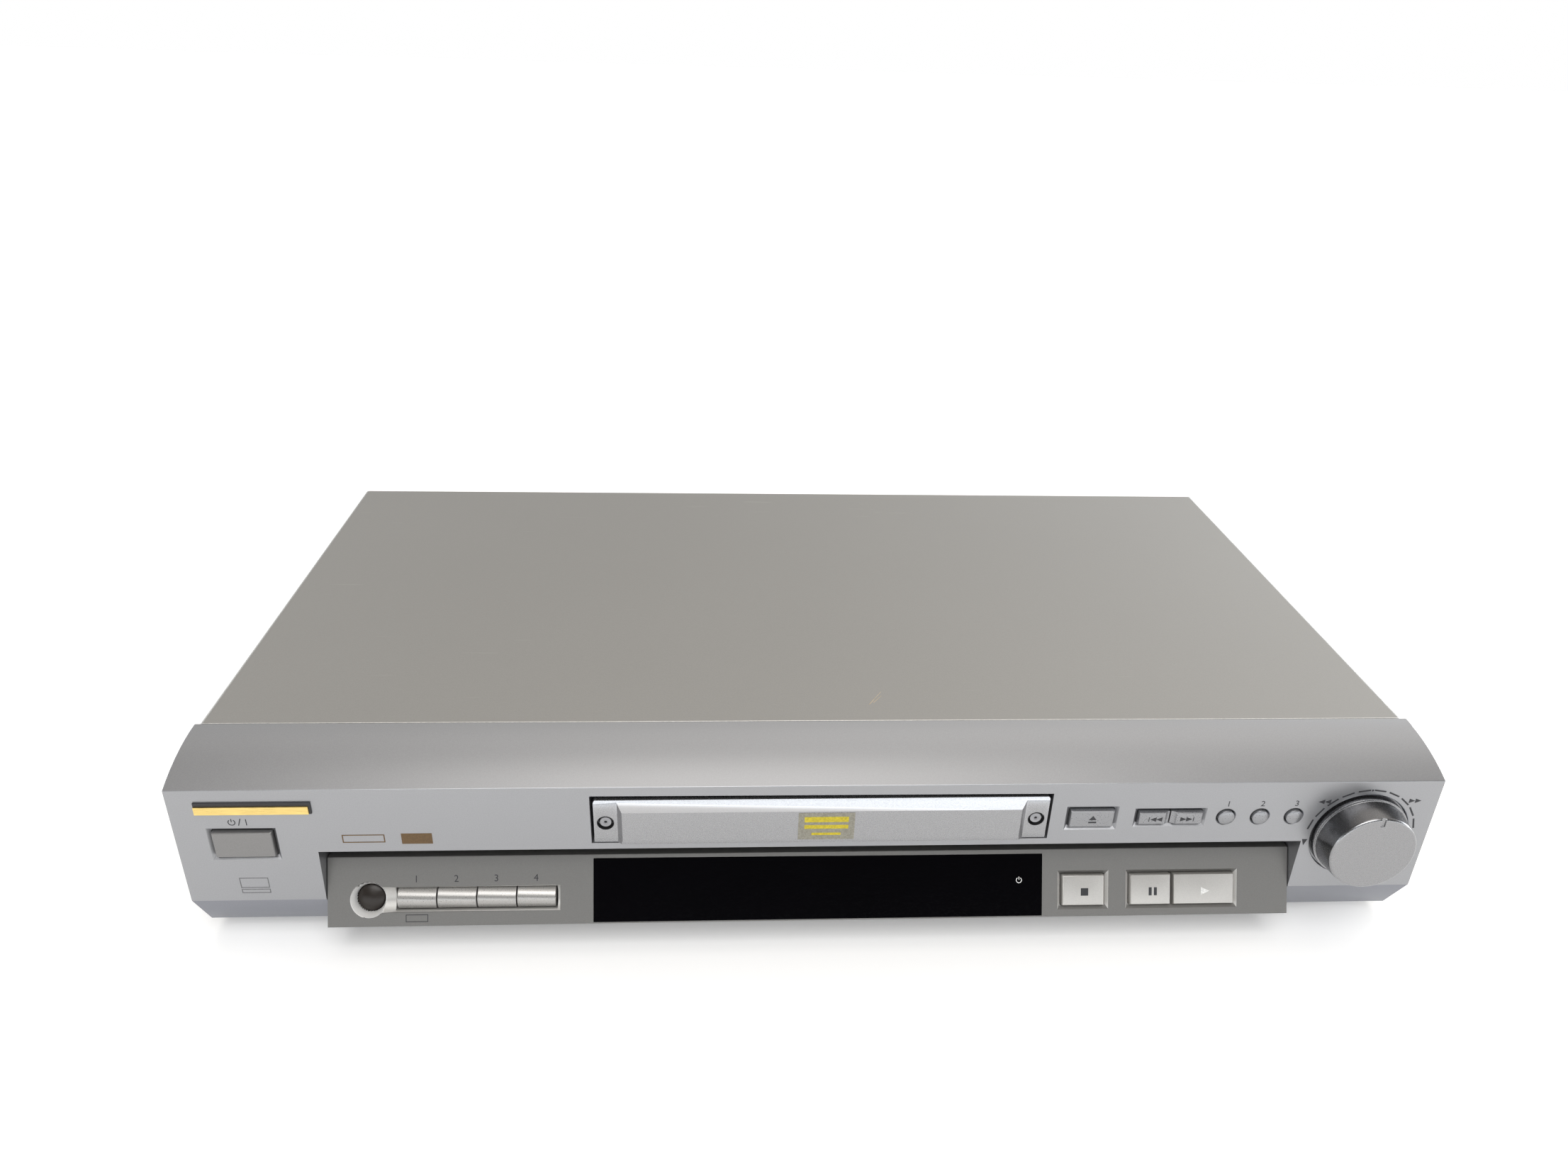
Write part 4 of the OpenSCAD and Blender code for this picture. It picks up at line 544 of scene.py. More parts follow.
def bake(piece: Object) -> None:
    """Turns a piece's modifiers into plain mesh.

    Args:
        piece: The piece.
    """
    made = evaluated(piece)
    piece.modifiers.clear()
    piece.data = made


def smooth_by_angle(mesh: Mesh, angle: float = 32.0) -> None:
    """Shades a mesh smooth, apart from edges sharper than an angle in degrees."""
    mesh.shade_smooth()
    mesh.set_sharp_from_angle(angle=math.radians(angle))


def extent(points: Iterable[Vector]) -> tuple[Vector, Vector]:
    """Lowest and highest coordinates of some points."""
    axes = list(zip(*points))
    return Vector([min(axis) for axis in axes]), Vector([max(axis) for axis in axes])


def grouped(items: Iterable, beside: Callable[[object, object], Iterable]) -> list[list]:
    """Gathers the vertices or faces of a bmesh in groups.

    Args:
        items: The vertices or faces.
        beside: What a group takes in next to a member, from that member and the group's first one.

    Returns:
        The groups.
    """
    groups: list[list] = []
    seen: set[int] = set()
    for first in items:
        if first.index in seen:
            continue
        seen.add(first.index)
        group = [first]
        for member in group:  # it grows as it is read
            for other in beside(member, first):
                if other.index not in seen:
                    seen.add(other.index)
                    group.append(other)
        groups.append(group)
    return groups


def islands(mesh: Mesh) -> list[list[Vector]]:
    """Groups the corners of a mesh of loose triangles by the closed solid they belong to.

    Args:
        mesh: The mesh.

    Returns:
        The places of each solid's corners.
    """
    work = bmesh.new()
    work.from_mesh(mesh)
    bmesh.ops.remove_doubles(work, verts=work.verts, dist=WELD)
    work.verts.index_update()
    groups = grouped(work.verts, lambda vert, first: [edge.other_vert(vert) for edge in vert.link_edges])
    found = [[vert.co.copy() for vert in group] for group in groups]
    work.free()
    return found


def even_normals(mesh: Mesh, angle: float) -> None:
    """Keeps wide faces flat, so that only the rounding beside them turns the light.

    Args:
        mesh: A mesh with rounded edges.
        angle: Faces further apart than this, in degrees, don't share a normal.
    """
    flat, near = math.cos(math.radians(0.5)), math.cos(math.radians(angle))
    work = bmesh.new()
    work.from_mesh(mesh)
    area = [0.0] * len(work.faces)
    regions = grouped(work.faces, lambda face, first: [
        other for edge in face.edges for other in edge.link_faces if other.normal.dot(first.normal) > flat])
    for region in regions:
        total = sum(face.calc_area() for face in region) / (MM * MM)
        for face in region:
            area[face.index] = total
    normals: list[Vector] = []
    for face in work.faces:
        for corner in face.loops:
            # each flat region counts once at a corner, however many triangles it has there
            met: dict[tuple[int, int], Vector] = {}
            for other in corner.vert.link_faces:
                if other.normal.dot(face.normal) >= near:
                    mark = (round(area[other.index] * 1000), round(other.normal.x * 500))
                    met.setdefault(mark, other.normal * area[other.index] ** 2)
            mean = sum(met.values(), Vector())
            normals.append(mean.normalized() if mean.length > 1e-12 else face.normal.copy())
    work.free()
    mesh.normals_split_custom_set(normals)


def turned(name: str, profile: Pairs, steps: int) -> Mesh:
    """Turns a profile about Z.

    Args:
        name: The mesh's name.
        profile: (radius, height) pairs, in mm.
        steps: Pieces round the turn.

    Returns:
        The mesh.
    """
    work = bmesh.new()
    verts = [work.verts.new((r * MM, 0, z * MM)) for r, z in profile]
    edges = [work.edges.new(pair) for pair in zip(verts, verts[1:])]
    bmesh.ops.spin(
        work, geom=verts + edges, cent=(0, 0, 0), axis=(0, 0, 1), angle=math.tau, steps=steps,
        use_merge=False,
    )
    bmesh.ops.remove_doubles(work, verts=work.verts, dist=0.001 * MM)
    return mesh_of(name, work)


def stand(name: str, model: Object, seats: Seats, finish: Finish) -> Object:
    """Stands copies of a model on seats with Geometry Nodes, their Z along the seats' directions.

    Args:
        name: The new piece's name.
        model: What is copied.
        seats: Pairs of place and outward direction.
        finish: What the copies are made of.

    Returns:
        The piece.
    """
    mesh = bpy.data.meshes.new(name + "_seats")
    mesh.from_pydata([tuple(place) for place, _ in seats], [], [])
    directions = mesh.attributes.new("outward", "FLOAT_VECTOR", "POINT")
    for item, (_, outward) in zip(directions.data, seats):
        item.vector = outward
    growth = Growth(name, Piece="Object", Scale="Float")
    aim = growth.node("InputNamedAttribute", {"Name": "outward"}, data_type="FLOAT_VECTOR")
    turn = growth.node("FunctionNodeAlignRotationToVector", {"Vector": aim.outputs["Attribute"]}, axis="Z")
    copied = growth.node("ObjectInfo", {"Object": growth.entry["Piece"]}).outputs["Geometry"]
    growth.finish(finish, {
        "Points": growth.entry["Geometry"], "Instance": copied,
        "Rotation": turn.outputs["Rotation"], "Scale": growth.entry["Scale"],
    })
    return growth.grow(name, mesh, {"Piece": model, "Scale": HAIR})


class Solids:
    """The CAD nodes as the studio sees them: each one dressed, or copied with rounded edges."""

    rounded_angle = math.radians(34.0)  # edges sharper than this are rounded
    flat_angle = math.radians(0.4)  # faces closer than this are one before the rounding
    level_angle = math.radians(0.2)  # and after it
    smooth_angle = 40.0  # edges sharper than this, in degrees, stay sharp to the eye
    tries = 6
    stray = 0.75  # how far a corner may lie from its node, as a share of the rounding's width
    speck = 0.001 * MM * MM  # faces smaller than this may face any way
    folded = -0.2  # a larger face that looks this far away from its node is folded over

    def __init__(self, frame: dict) -> None:
        """Keeps the frame.
        """
        record = frame["record"]
        self.nodes: dict[str, Object] = frame["nodes"]
        self.slots = {part["node"]: part["material_slot"] for part in record["subparts"]}
        self.body_of = {
            node: body for body, nodes in record["behaviour"]["bodies"].items() for node in nodes
        }
        self._surfaces: dict[str, BVHTree] = {}

    def dress_all(self) -> None:
        """Gives every CAD node its finish."""
        for node, piece in self.nodes.items():
            piece.data.materials.clear()
            piece.data.materials.append(NODE_FINISH[node].build())
            smooth_by_angle(piece.data)
            LOG.info("dressed %s", node)

    def mount(self, piece: Object, node: str, instead: bool = False) -> Object:
        """Puts a piece on a node's body.

        Args:
            piece: The piece.
            node: The CAD node that it belongs to.
            instead: Whether it stands in for the node.

        Returns:
            The same piece.
        """
        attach(piece, self.body_of[node])
        if instead:
            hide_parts(node)
        LOG.info("made %s", piece.name)
        return piece

    def soften(self, node: str, width: float) -> Object:
        """Stands a copy with rounded edges in for a node.

        Corners too crowded for the rounding stay sharp, so that no face folds over.

        Args:
            node: The CAD node.
            width: How far the rounding reaches from each edge, in metres.

        Returns:
            The new piece.
        """
        base = bmesh.new()
        base.from_mesh(self.nodes[node].data)
        bmesh.ops.remove_doubles(base, verts=base.verts, dist=WELD)
        bmesh.ops.dissolve_limit(base, angle_limit=self.flat_angle, verts=base.verts, edges=base.edges)
        bmesh.ops.triangulate(base, faces=base.faces)
        base.verts.index_update()
        corners = KDTree(len(base.verts))
        for corner in base.verts:
            corners.insert(corner.co, corner.index)
        corners.balance()
        crowded: set[int] = set()
        work = base.copy()
        for _ in range(self.tries):
            work.free()
            work = base.copy()
            sharp = [
                edge for edge in work.edges
                if edge.is_manifold and edge.calc_face_angle() > self.rounded_angle
                and not crowded.intersection(corner.index for corner in edge.verts)
            ]
            bmesh.ops.bevel(
                work, geom=sharp, offset=width, offset_type="OFFSET", segments=2, profile=0.5,
                affect="EDGES", clamp_overlap=False, loop_slide=False, miter_outer="ARC", material=-1,
            )
            # the flat faces are filled afresh: next to a rounded corner their old triangles cross
            level = [e for e in work.edges if e.is_manifold and e.calc_face_angle() < self.level_angle]
            bmesh.ops.dissolve_edges(work, edges=level, use_verts=False, use_face_split=False)
            bmesh.ops.triangulate(work, faces=[f for f in work.faces if len(f.verts) > 3])
            found = set()
            for point in self._folds(work, node, width):
                found.add(corners.find(point)[1])
                found.update(index for _, index, _ in corners.find_range(point, 2 * width))
            if found <= crowded:
                break
            crowded |= found
        mesh = bpy.data.meshes.new(node + "_soft")
        work.to_mesh(mesh)
        work.free()
        base.free()
        piece = add_object(node + "_shell", mesh, NODE_FINISH[node])
        smooth_by_angle(mesh, self.smooth_angle)
        even_normals(mesh, self.smooth_angle)
        return self.mount(piece, node, instead=True)

    def _folds(self, work: BMesh, node: str, width: float) -> list[Vector]:
        """Where a rounded mesh strays from its node, or faces the wrong way.

        Args:
            work: The rounded mesh.
            node: The node that it was made from.
            width: The rounding's width.

        Returns:
            The points at fault.
        """
        surface = self.surface(node)
        faults = [v.co.copy() for v in work.verts if surface.find_nearest(v.co)[3] > self.stray * width]
        for face in work.faces:
            facing = surface.find_nearest(face.calc_center_median())[1]
            if face.calc_area() > self.speck and face.normal.dot(facing) < self.folded:
                faults.extend(v.co.copy() for v in face.verts)
        return faults

    def surface(self, node: str) -> BVHTree:
        """Finds a node's surface, to lay prints on.

        Args:
            node: The CAD node.

        Returns:
            The surface, made once.
        """
        if node not in self._surfaces:
            mesh = self.nodes[node].data
            corners = [v.co.copy() for v in mesh.vertices]
            self._surfaces[node] = BVHTree.FromPolygons(corners, [tuple(p.vertices) for p in mesh.polygons])
        return self._surfaces[node]


# ---------------------------------------------------------------------------- the front's faces


@dataclass
class Face:
    """A flat face of the case, with X across it and a second axis up it."""

    origin: Vector
    up: Vector
    outward: Vector

    def point(self, x: float, height: float, proud: float = 0.0) -> Vector:
        """A point in the frame, by mm across the face, up it and in front of it."""
        return self.origin + Vector((x * MM, 0, 0)) + self.up * (height * MM) + self.outward * (proud * MM)

    def in_well(self, place: Vector, centre: Pair, half: float, reach: float) -> bool:
        """Whether a place is in a well that is sunk in this face.

        Args:
            place: The place, in metres.
            centre: The well's middle, in mm.
            half: Half the length of its middle line, in mm.
            reach: How far it reaches from that line, in mm.

        Returns:
            True if it is.
        """
        start = self.point(*centre)
        depth = (start - place).dot(self.outward)
        flat = place - start + self.outward * depth
        flat.x = max(abs(flat.x) - half * MM, 0.0)
        return 0.1 * MM < depth < 4 * MM and flat.length < reach * MM


@dataclass
class Datum:
    """Where the front's faces lie, taken from the frame, and the places that marks follow, in mm."""

    panel_tilt: float = 26.3
    panel_low: float = 14.55
    dial: Pair = (190.0, 46.5)
    dial_scale: float = 19.3
    upper_row: float = 55.0
    door_screw: Pair = (73.4, 54.9)
    dish: Pair = (-155.6, 8.7)
    fascia: Face = field(init=False)
    panel: Face = field(init=False)
    top: Face = field(init=False)

    def __post_init__(self) -> None:
        """Finds the fascia's face, the sloping face and the cover's top."""
        lean = math.radians(self.panel_tilt)
        front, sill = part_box("fascia")[0].y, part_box("control_panel")[0].y
        self.fascia = Face(Vector((0, front, 0)), Vector((0, 0, 1)), Vector((0, -1, 0)))
        self.panel = Face(
            Vector((0, sill, self.panel_low * MM)),
            Vector((0, math.sin(lean), math.cos(lean))),
            Vector((0, -math.cos(lean), math.sin(lean))),
        )
        self.top = Face(Vector((0, 0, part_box("top_cover")[1].z)), Vector((0, 1, 0)), Vector((0, 0, 1)))


# ---------------------------------------------------------------------------- outlines for prints


def bar(x: float, z: float, width: float, height: float) -> Outline:
    """A rectangle by its centre and size."""
    return [(x - width / 2, z - height / 2), (x + width / 2, z - height / 2),
            (x + width / 2, z + height / 2), (x - width / 2, z + height / 2)]


def arrow(x: float, z: float, width: float, height: float) -> Outline:
    """A triangle that points right, or left where its width is negative."""
    return [(x - width / 2, z - height / 2), (x + width / 2, z), (x - width / 2, z + height / 2)]


def arc_band(x: float, z: float, radius: float, line: float, start: float, end: float, steps: int) -> Outline:
    """Part of a ring.

    Args:
        x: Centre, across.
        z: Centre, up.
        radius: Radius of the line's middle.
        line: Width of the line.
        start: First angle, in degrees, anticlockwise from the right.
        end: Last angle.
        steps: Straight pieces along it.

    Returns:
        The outline.
    """
    angles = [math.radians(start + (end - start) * i / steps) for i in range(steps + 1)]
    outer, inner = (
        [(x + r * math.cos(a), z + r * math.sin(a)) for a in angles]
        for r in (radius + line / 2, radius - line / 2)
    )
    return outer + inner[::-1]


def frame_lines(x: float, z: float, width: float, height: float, line: float) -> list[Outline]:
    """Four bars that make an open rectangle, by its centre, its size and its line's width."""
    level = [bar(x, z + way * (height - line) / 2, width, line) for way in (1, -1)]
    return level + [bar(x + way * (width - line) / 2, z, line, height - 2 * line) for way in (-1, 1)]


def standby(x: float, z: float, size: float, line: float) -> list[Outline]:
    """The open ring with an upright bar."""
    return [arc_band(x, z, size / 2, line, 125, 415, 26), bar(x, z + size * 0.36, line, size * 0.55)]


def numeral(number: int, x: float, z: float, size: float) -> list[Outline]:
    """Outlines of a plain numeral as triangles.

    Args:
        number: The number.
        x: Its centre, across.
        z: Its centre, up.
        size: Its height, in mm.

    Returns:
        Triangles that fill it.
    """
    curve = bpy.data.curves.new(f"numeral_{number}", "FONT")
    curve.body = str(number)
    curve.size = size / 0.7  # a numeral's share of the letter height
    curve.align_x = "CENTER"
    curve.align_y = "CENTER"
    holder = add_object(curve.name, curve)
    mesh = evaluated(holder)
    bpy.data.objects.remove(holder)
    mesh.calc_loop_triangles()
    corners = [(v.co.x, v.co.y) for v in mesh.vertices]
    mid_z = (min(c[1] for c in corners) + max(c[1] for c in corners)) / 2
    return [[(x + corners[i][0], z + corners[i][1] - mid_z) for i in t.vertices] for t in mesh.loop_triangles]


# ---------------------------------------------------------------------------- the player's pieces


@dataclass
class Mouldings:
    """The visible shells and keys, with the small radii that mouldings and folded sheet have."""

    solids: Solids
    # radius of each piece's edges, in mm
    radii: dict[str, float] = field(default_factory=lambda: {
        "fascia": 0.3, "control_panel": 0.25, "tray_door": 0.15, "shuttle_dial": 0.3, "feet": 0.4,
        "top_cover": 0.25, "power_button": 0.22, "open_button": 0.22, "stop_button": 0.22,
        "pause_button": 0.22, "play_button": 0.22, "memory_button": 0.22, "sound_button_1": 0.22,
        "sound_button_2": 0.22, "sound_button_3": 0.22, "sound_button_4": 0.22,
        "skip_back_button": 0.15, "skip_forward_button": 0.15, "mode_button_1": 0.15,
        "mode_button_2": 0.15, "mode_button_3": 0.15,
    })
    # half the length of a well's middle line, and how far it reaches from that line, in mm
    screw_well: Pair = (0.0, 2.86)
    dish_well: Pair = (0.0, 6.45)
    row_of_wells: Pair = (math.inf, 5.2)  # all the console's wells: they lie in one row

    @staticmethod
    def repaint(piece: Object, finish: Finish, chosen: Chosen) -> None:
        """Gives some faces of a piece another finish.

        Args:
            piece: The piece.
            finish: The other finish.
            chosen: Says from a face's middle and normal whether it changes.
        """
        piece.data.materials.append(finish.build())
        slot = len(piece.data.materials) - 1
        for face in piece.data.polygons:
            if chosen(face.center, face.normal):
                face.material_index = slot

    def build(self, datum: Datum) -> None:
        """Rounds the edges of each piece, then repaints some faces with painted shade and painted highlights.

        Args:
            datum: The front's faces.
        """
        made = {node: self.solids.soften(node, radius * MM) for node, radius in self.radii.items()}
        x, z = datum.door_screw
        screws = [(side.value * x, z) for side in Side]
        bevel_low, edge_low = 59 * MM, 74 * MM
        for node, finish, chosen in (
            # painted shade: black on the walls of the wells round the door's screws
            ("tray_door", BLACK_MOULDING_AND_SHADE, lambda middle, normal: any(
                datum.fascia.in_well(middle, screw, *self.screw_well) for screw in screws)),
            # painted highlight: pale paint in the console's row of wells
            ("control_panel", CHANNEL_HIGHLIGHT_PAINT,
             lambda middle, normal: datum.panel.in_well(middle, datum.dish, *self.row_of_wells)),
            # painted highlight: paler paint in the dish
            ("control_panel", DISH_HIGHLIGHT_PAINT,
             lambda middle, normal: datum.panel.in_well(middle, datum.dish, *self.dish_well)),
            # painted highlight: the door's top bevel
            ("tray_door", BEVEL_HIGHLIGHT_PAINT,
             lambda middle, normal: 0.2 < normal.z < 0.6 and normal.y < -0.7 and middle.z > bevel_low),
            # painted shade: the door's side cheeks
            ("tray_door", CHEEK_SHADE_PAINT, lambda middle, normal: abs(normal.x) > 0.3 and normal.y < -0.3),
            # painted shade: the chin, which faces down
            ("fascia", CHIN_SHADE_PAINT, lambda middle, normal: -0.85 < normal.z < -0.12 and normal.y < -0.3),
            # painted highlight: the cover's front edge
            ("top_cover", EDGE_HIGHLIGHT_METAL,
             lambda middle, normal: normal.y < -0.2 and normal.z > 0.2 and middle.z > edge_low),
            # painted shade: the dial's side
            ("shuttle_dial", DIAL_SIDE_SHADE_PAINT, lambda middle, normal: abs(normal.y) < 0.35),
        ):
            self.repaint(made[node], finish, chosen)


@dataclass
class Prints:
    """Thin flat marks on the case and the keys, laid on the surfaces behind them."""

    solids: Solids
    datum: Datum
    sunk: float = 0.05  # how deep a print reaches into the surface, in mm
    reach: float = 14.0  # how far in front of its face it starts, in mm
    longest: float = 1.8  # edges longer than this, in mm, are cut where the surface isn't flat
    flat_nodes: tuple[str, ...] = ("fascia", "control_panel", "display_window")
    panel_nodes: tuple[str, ...] = (
        "control_panel", "display_window", "stop_button", "pause_button", "play_button",
    )

    def build(self) -> None:
        """Lays every mark."""
        for marks in (self.power_marks, self.upper_marks, self.dial_marks, self.panel_marks, self.plates):
            marks()

    def lay(
        self, name: str, node: str, shapes: list[Outline], ink: Finish = BLACK_INK, proud: float = 0.03,
    ) -> None:
        """Prints a mark on a node.

        Args:
            name: The print's name.
            node: The node under it.
            shapes: Its outlines on the node's face, in mm.
            ink: What it is printed in.
            proud: How far it stands off the surface, in mm.
        """
        surface = self.solids.surface(node)
        face = self.datum.panel if node in self.panel_nodes else self.datum.fascia
        face = self.datum.top if node == "top_cover" else face

        work = bmesh.new()
        for shape in shapes:
            # fills the outline, drops it on the surface and closes it behind
            flat = bmesh.new()
            flat.faces.new([flat.verts.new((x, z, 0)) for x, z in shape])
            flat.normal_update()
            bmesh.ops.triangulate(flat, faces=flat.faces)
            if node not in self.flat_nodes:
                cut = [e for e in flat.edges if e.calc_length() > self.longest]
                bmesh.ops.subdivide_edges(flat, edges=cut, cuts=3, use_grid_fill=True)
            flat.verts.index_update()
            front, back = {}, {}
            for vert in flat.verts:
                start = face.point(vert.co.x, vert.co.y, self.reach)
                hit = surface.ray_cast(start, -face.outward)[0]
                hit = face.point(vert.co.x, vert.co.y) if hit is None else hit
                front[vert.index] = work.verts.new(hit + face.outward * (proud * MM))
                back[vert.index] = work.verts.new(hit - face.outward * (self.sunk * MM))
            for polygon in flat.faces:
                corners = [v.index for v in polygon.verts]
                work.faces.new([front[i] for i in corners])
                work.faces.new([back[i] for i in reversed(corners)])
            for edge in flat.edges:
                if edge.is_boundary:
                    a, b = (v.index for v in edge.verts)
                    work.faces.new([front[a], front[b], back[b], back[a]])
            flat.free()
        self.solids.mount(add_object(name, mesh_of(name, work), ink), node)

    def power_marks(self) -> None:
        """Ring, slash and bar over the power button, plain boxes near it, and painted shade in the middle of
        the door's screws.
        """
        x, z = -193.0, 56.7
        slash = [(x - 0.5, z - 1.3), (x - 0.15, z - 1.3), (x + 0.75, z + 1.5), (x + 0.4, z + 1.5)]
        shapes = [*standby(x - 2.4, z, 2.2, 0.32), slash, bar(x + 2.3, z, 0.32, 2.5)]
        self.lay("power_symbol", "fascia", shapes)
        shapes = [*frame_lines(-153.8, 49.4, 14.0, 3.4, 0.4), bar(-136.3, 49.2, 10.2, 4.4)]
        self.lay("brown_boxes", "fascia", shapes, BROWN_INK)
        shapes = frame_lines(-192.6, 30.9, 9.6, 4.4, 0.3) + frame_lines(-192.6, 27.3, 9.6, 1.8, 0.3)
        self.lay("grey_boxes", "fascia", shapes, GREY_INK)
        x, z = self.datum.door_screw
        # painted shade: a black disc in the middle of each door screw, where its hole is dark
        discs = [arc_band(side.value * x, z, 0.45, 0.9, 0, 360, 18) for side in Side]
        self.lay("screw_sockets", "door_screws", discs)

    def upper_marks(self) -> None:
        """Marks on the open key and the skip keys, and numerals over the round keys."""
        row = self.datum.upper_row
        wedge = [(91.5, row - 0.1), (94.3, row - 0.1), (92.9, row + 1.7)]
        self.lay("open_symbol", "open_button", [wedge, bar(92.9, row - 1.1, 2.8, 0.7)])
        for way, x, sense in (("back", 115.1, -1), ("forward", 126.0, 1)):
            shapes = [arrow(x + sense * step, row - 0.1, sense * 2.2, 1.9) for step in (-1.2, 0.9)]
            shapes.append(bar(x + sense * 2.4, row - 0.1, 0.28, 1.9))
            self.lay(f"skip_{way}_symbol", f"skip_{way}_button", shapes)
        shapes = [t for i, x in enumerate((140.2, 152.3, 164.4), start=1) for t in numeral(i, x, 60.6, 2.3)]
        self.lay("mode_numerals", "fascia", shapes)

    def dial_marks(self) -> None:
        """Arrows and a dot round the dial; the dashed arc between them is grown apart."""
        x, z = self.datum.dial
        reach = self.datum.dial_scale
        shapes = [
            arrow(pair_x + step, pair_z, sense * 2.2, 1.9)
            for pair_x, pair_z, sense in ((174.1, 61.1, -1), (206.5, 61.2, 1)) for step in (-1.1, 1.1)
        ]
        shapes.append(arc_band(x, z + reach, 0.21, 0.42, 0, 360, 14))
        for side in Side:
            end_x, end_z = x + side.value * reach * 0.988, z - reach * 0.156
            shapes.append([(end_x - 1.0, end_z + 1.3), (end_x, end_z - 1.5), (end_x + 1.0, end_z + 1.3)])
        self.lay("dial_arrows", "fascia", shapes)

    def panel_marks(self) -> None:
        """Marks on the stop, pause and play keys, numerals over the sound keys, and a standby ring."""
        self.lay("stop_symbol", "stop_button", [bar(94.8, 9.0, 2.7, 2.7)])
        self.lay("pause_symbol", "pause_button", [bar(x, 8.9, 1.1, 2.9) for x in (118.7, 120.6)])
        self.lay("play_symbol", "play_button", [arrow(138.8, 8.8, 3.0, 2.8)], WHITE_INK)
        shapes = [t for i in range(4) for t in numeral(i + 1, -139.5 + 13.64 * i, 16.4, 2.4)]
        shapes += frame_lines(-139.3, 2.75, 7.6, 2.6, 0.24)
        self.lay("sound_numerals", "control_panel", shapes)
        self.lay("window_standby", "display_window", standby(71.3, 13.3, 1.9, 0.26), WHITE_INK)

    def plates(self) -> None:
        """A gilt bar on a black backing, a door plate with yellow bars, and rub marks on the cover."""
        self.lay("badge_backing", "fascia", [bar(-187.6, 62.6, 37.4, 4.6)], BLACK_INK, 0.5)
        self.lay("badge_bar", "fascia", [bar(-187.9, 62.0, 36.6, 3.0)], GILT, 1.0)
        x, z = 1.05, 53.7
        self.lay("door_plate", "tray_door", [bar(x, z, 19.2, 11.2)], PLATE_GREY, 0.12)
        shapes = [bar(x, z + 2.9, 15.0, 2.2), bar(x, z - 0.2, 15.0, 1.6), bar(x, z - 3.2, 10.0, 1.0)]
        self.lay("door_plate_bars", "tray_door", shapes, YELLOW_INK, 0.17)
        shapes = [
            [(x, y), (x + 0.3, y - 0.1), (x + dx + 0.12, y + dy), (x + dx, y + dy + 0.06)]
            for x, y, dx, dy in ((19.0, -77.5, 5.4, 8.4), (20.6, -76.4, 3.6, 4.6))
        ]
        self.lay("cover_rub_marks", "top_cover", shapes, RUB_MARK, 0.012)


@dataclass
class DialScale:
    """The dashed arc round the shuttle dial, grown with Geometry Nodes; sizes in mm and degrees."""

    datum: Datum
    dash: float = 4.3  # how long each dash is
    line: float = 0.6
    height: float = 0.08
    dashes: int = 10
    spread: float = 75.5  # from the top to the last dash

    def build(self, solids: Solids) -> Object:
        """Grows the dashes.

        Args:
            solids: The CAD nodes.

        Returns:
            The printed arc.
        """
        growth = Growth("dial_scale", Radius="Float", Dash="Float", Line="Float", Height="Float",
                        Count="Int", Spread="Float")
        entry = growth.entry
        last = growth.sum("SUBTRACT", entry["Count"], 1)
        share = growth.sum("DIVIDE", growth.node("InputIndex").outputs["Index"], last)
        angle = growth.sum("MULTIPLY", growth.sum("MULTIPLY_ADD", share, 2.0, -1.0), entry["Spread"])
        across, upward = (
            growth.sum("MULTIPLY", growth.sum(part, angle), entry["Radius"]) for part in ("SINE", "COSINE")
        )
        box = growth.node("MeshCube", {"Size": growth.vector(entry["Dash"], entry["Height"], entry["Line"])})
        place = growth.vector(across, 0.0, upward)
        points = growth.node("Points", {"Count": entry["Count"], "Position": place})
        growth.finish(BLACK_INK, {
            "Points": points.outputs["Points"], "Instance": box.outputs["Mesh"],
            "Rotation": growth.vector(0.0, angle, 0.0),
        })
        piece = growth.grow("dial_scale_dashes", bpy.data.meshes.new("dial_scale_seed"), {
            "Radius": self.datum.dial_scale * MM, "Dash": self.dash * MM, "Line": self.line * MM,
            "Height": self.height * MM, "Count": self.dashes, "Spread": math.radians(self.spread),
        })
        piece.data.transform(Matrix.Translation(self.datum.fascia.point(*self.datum.dial)))
        return solids.mount(piece, "fascia")


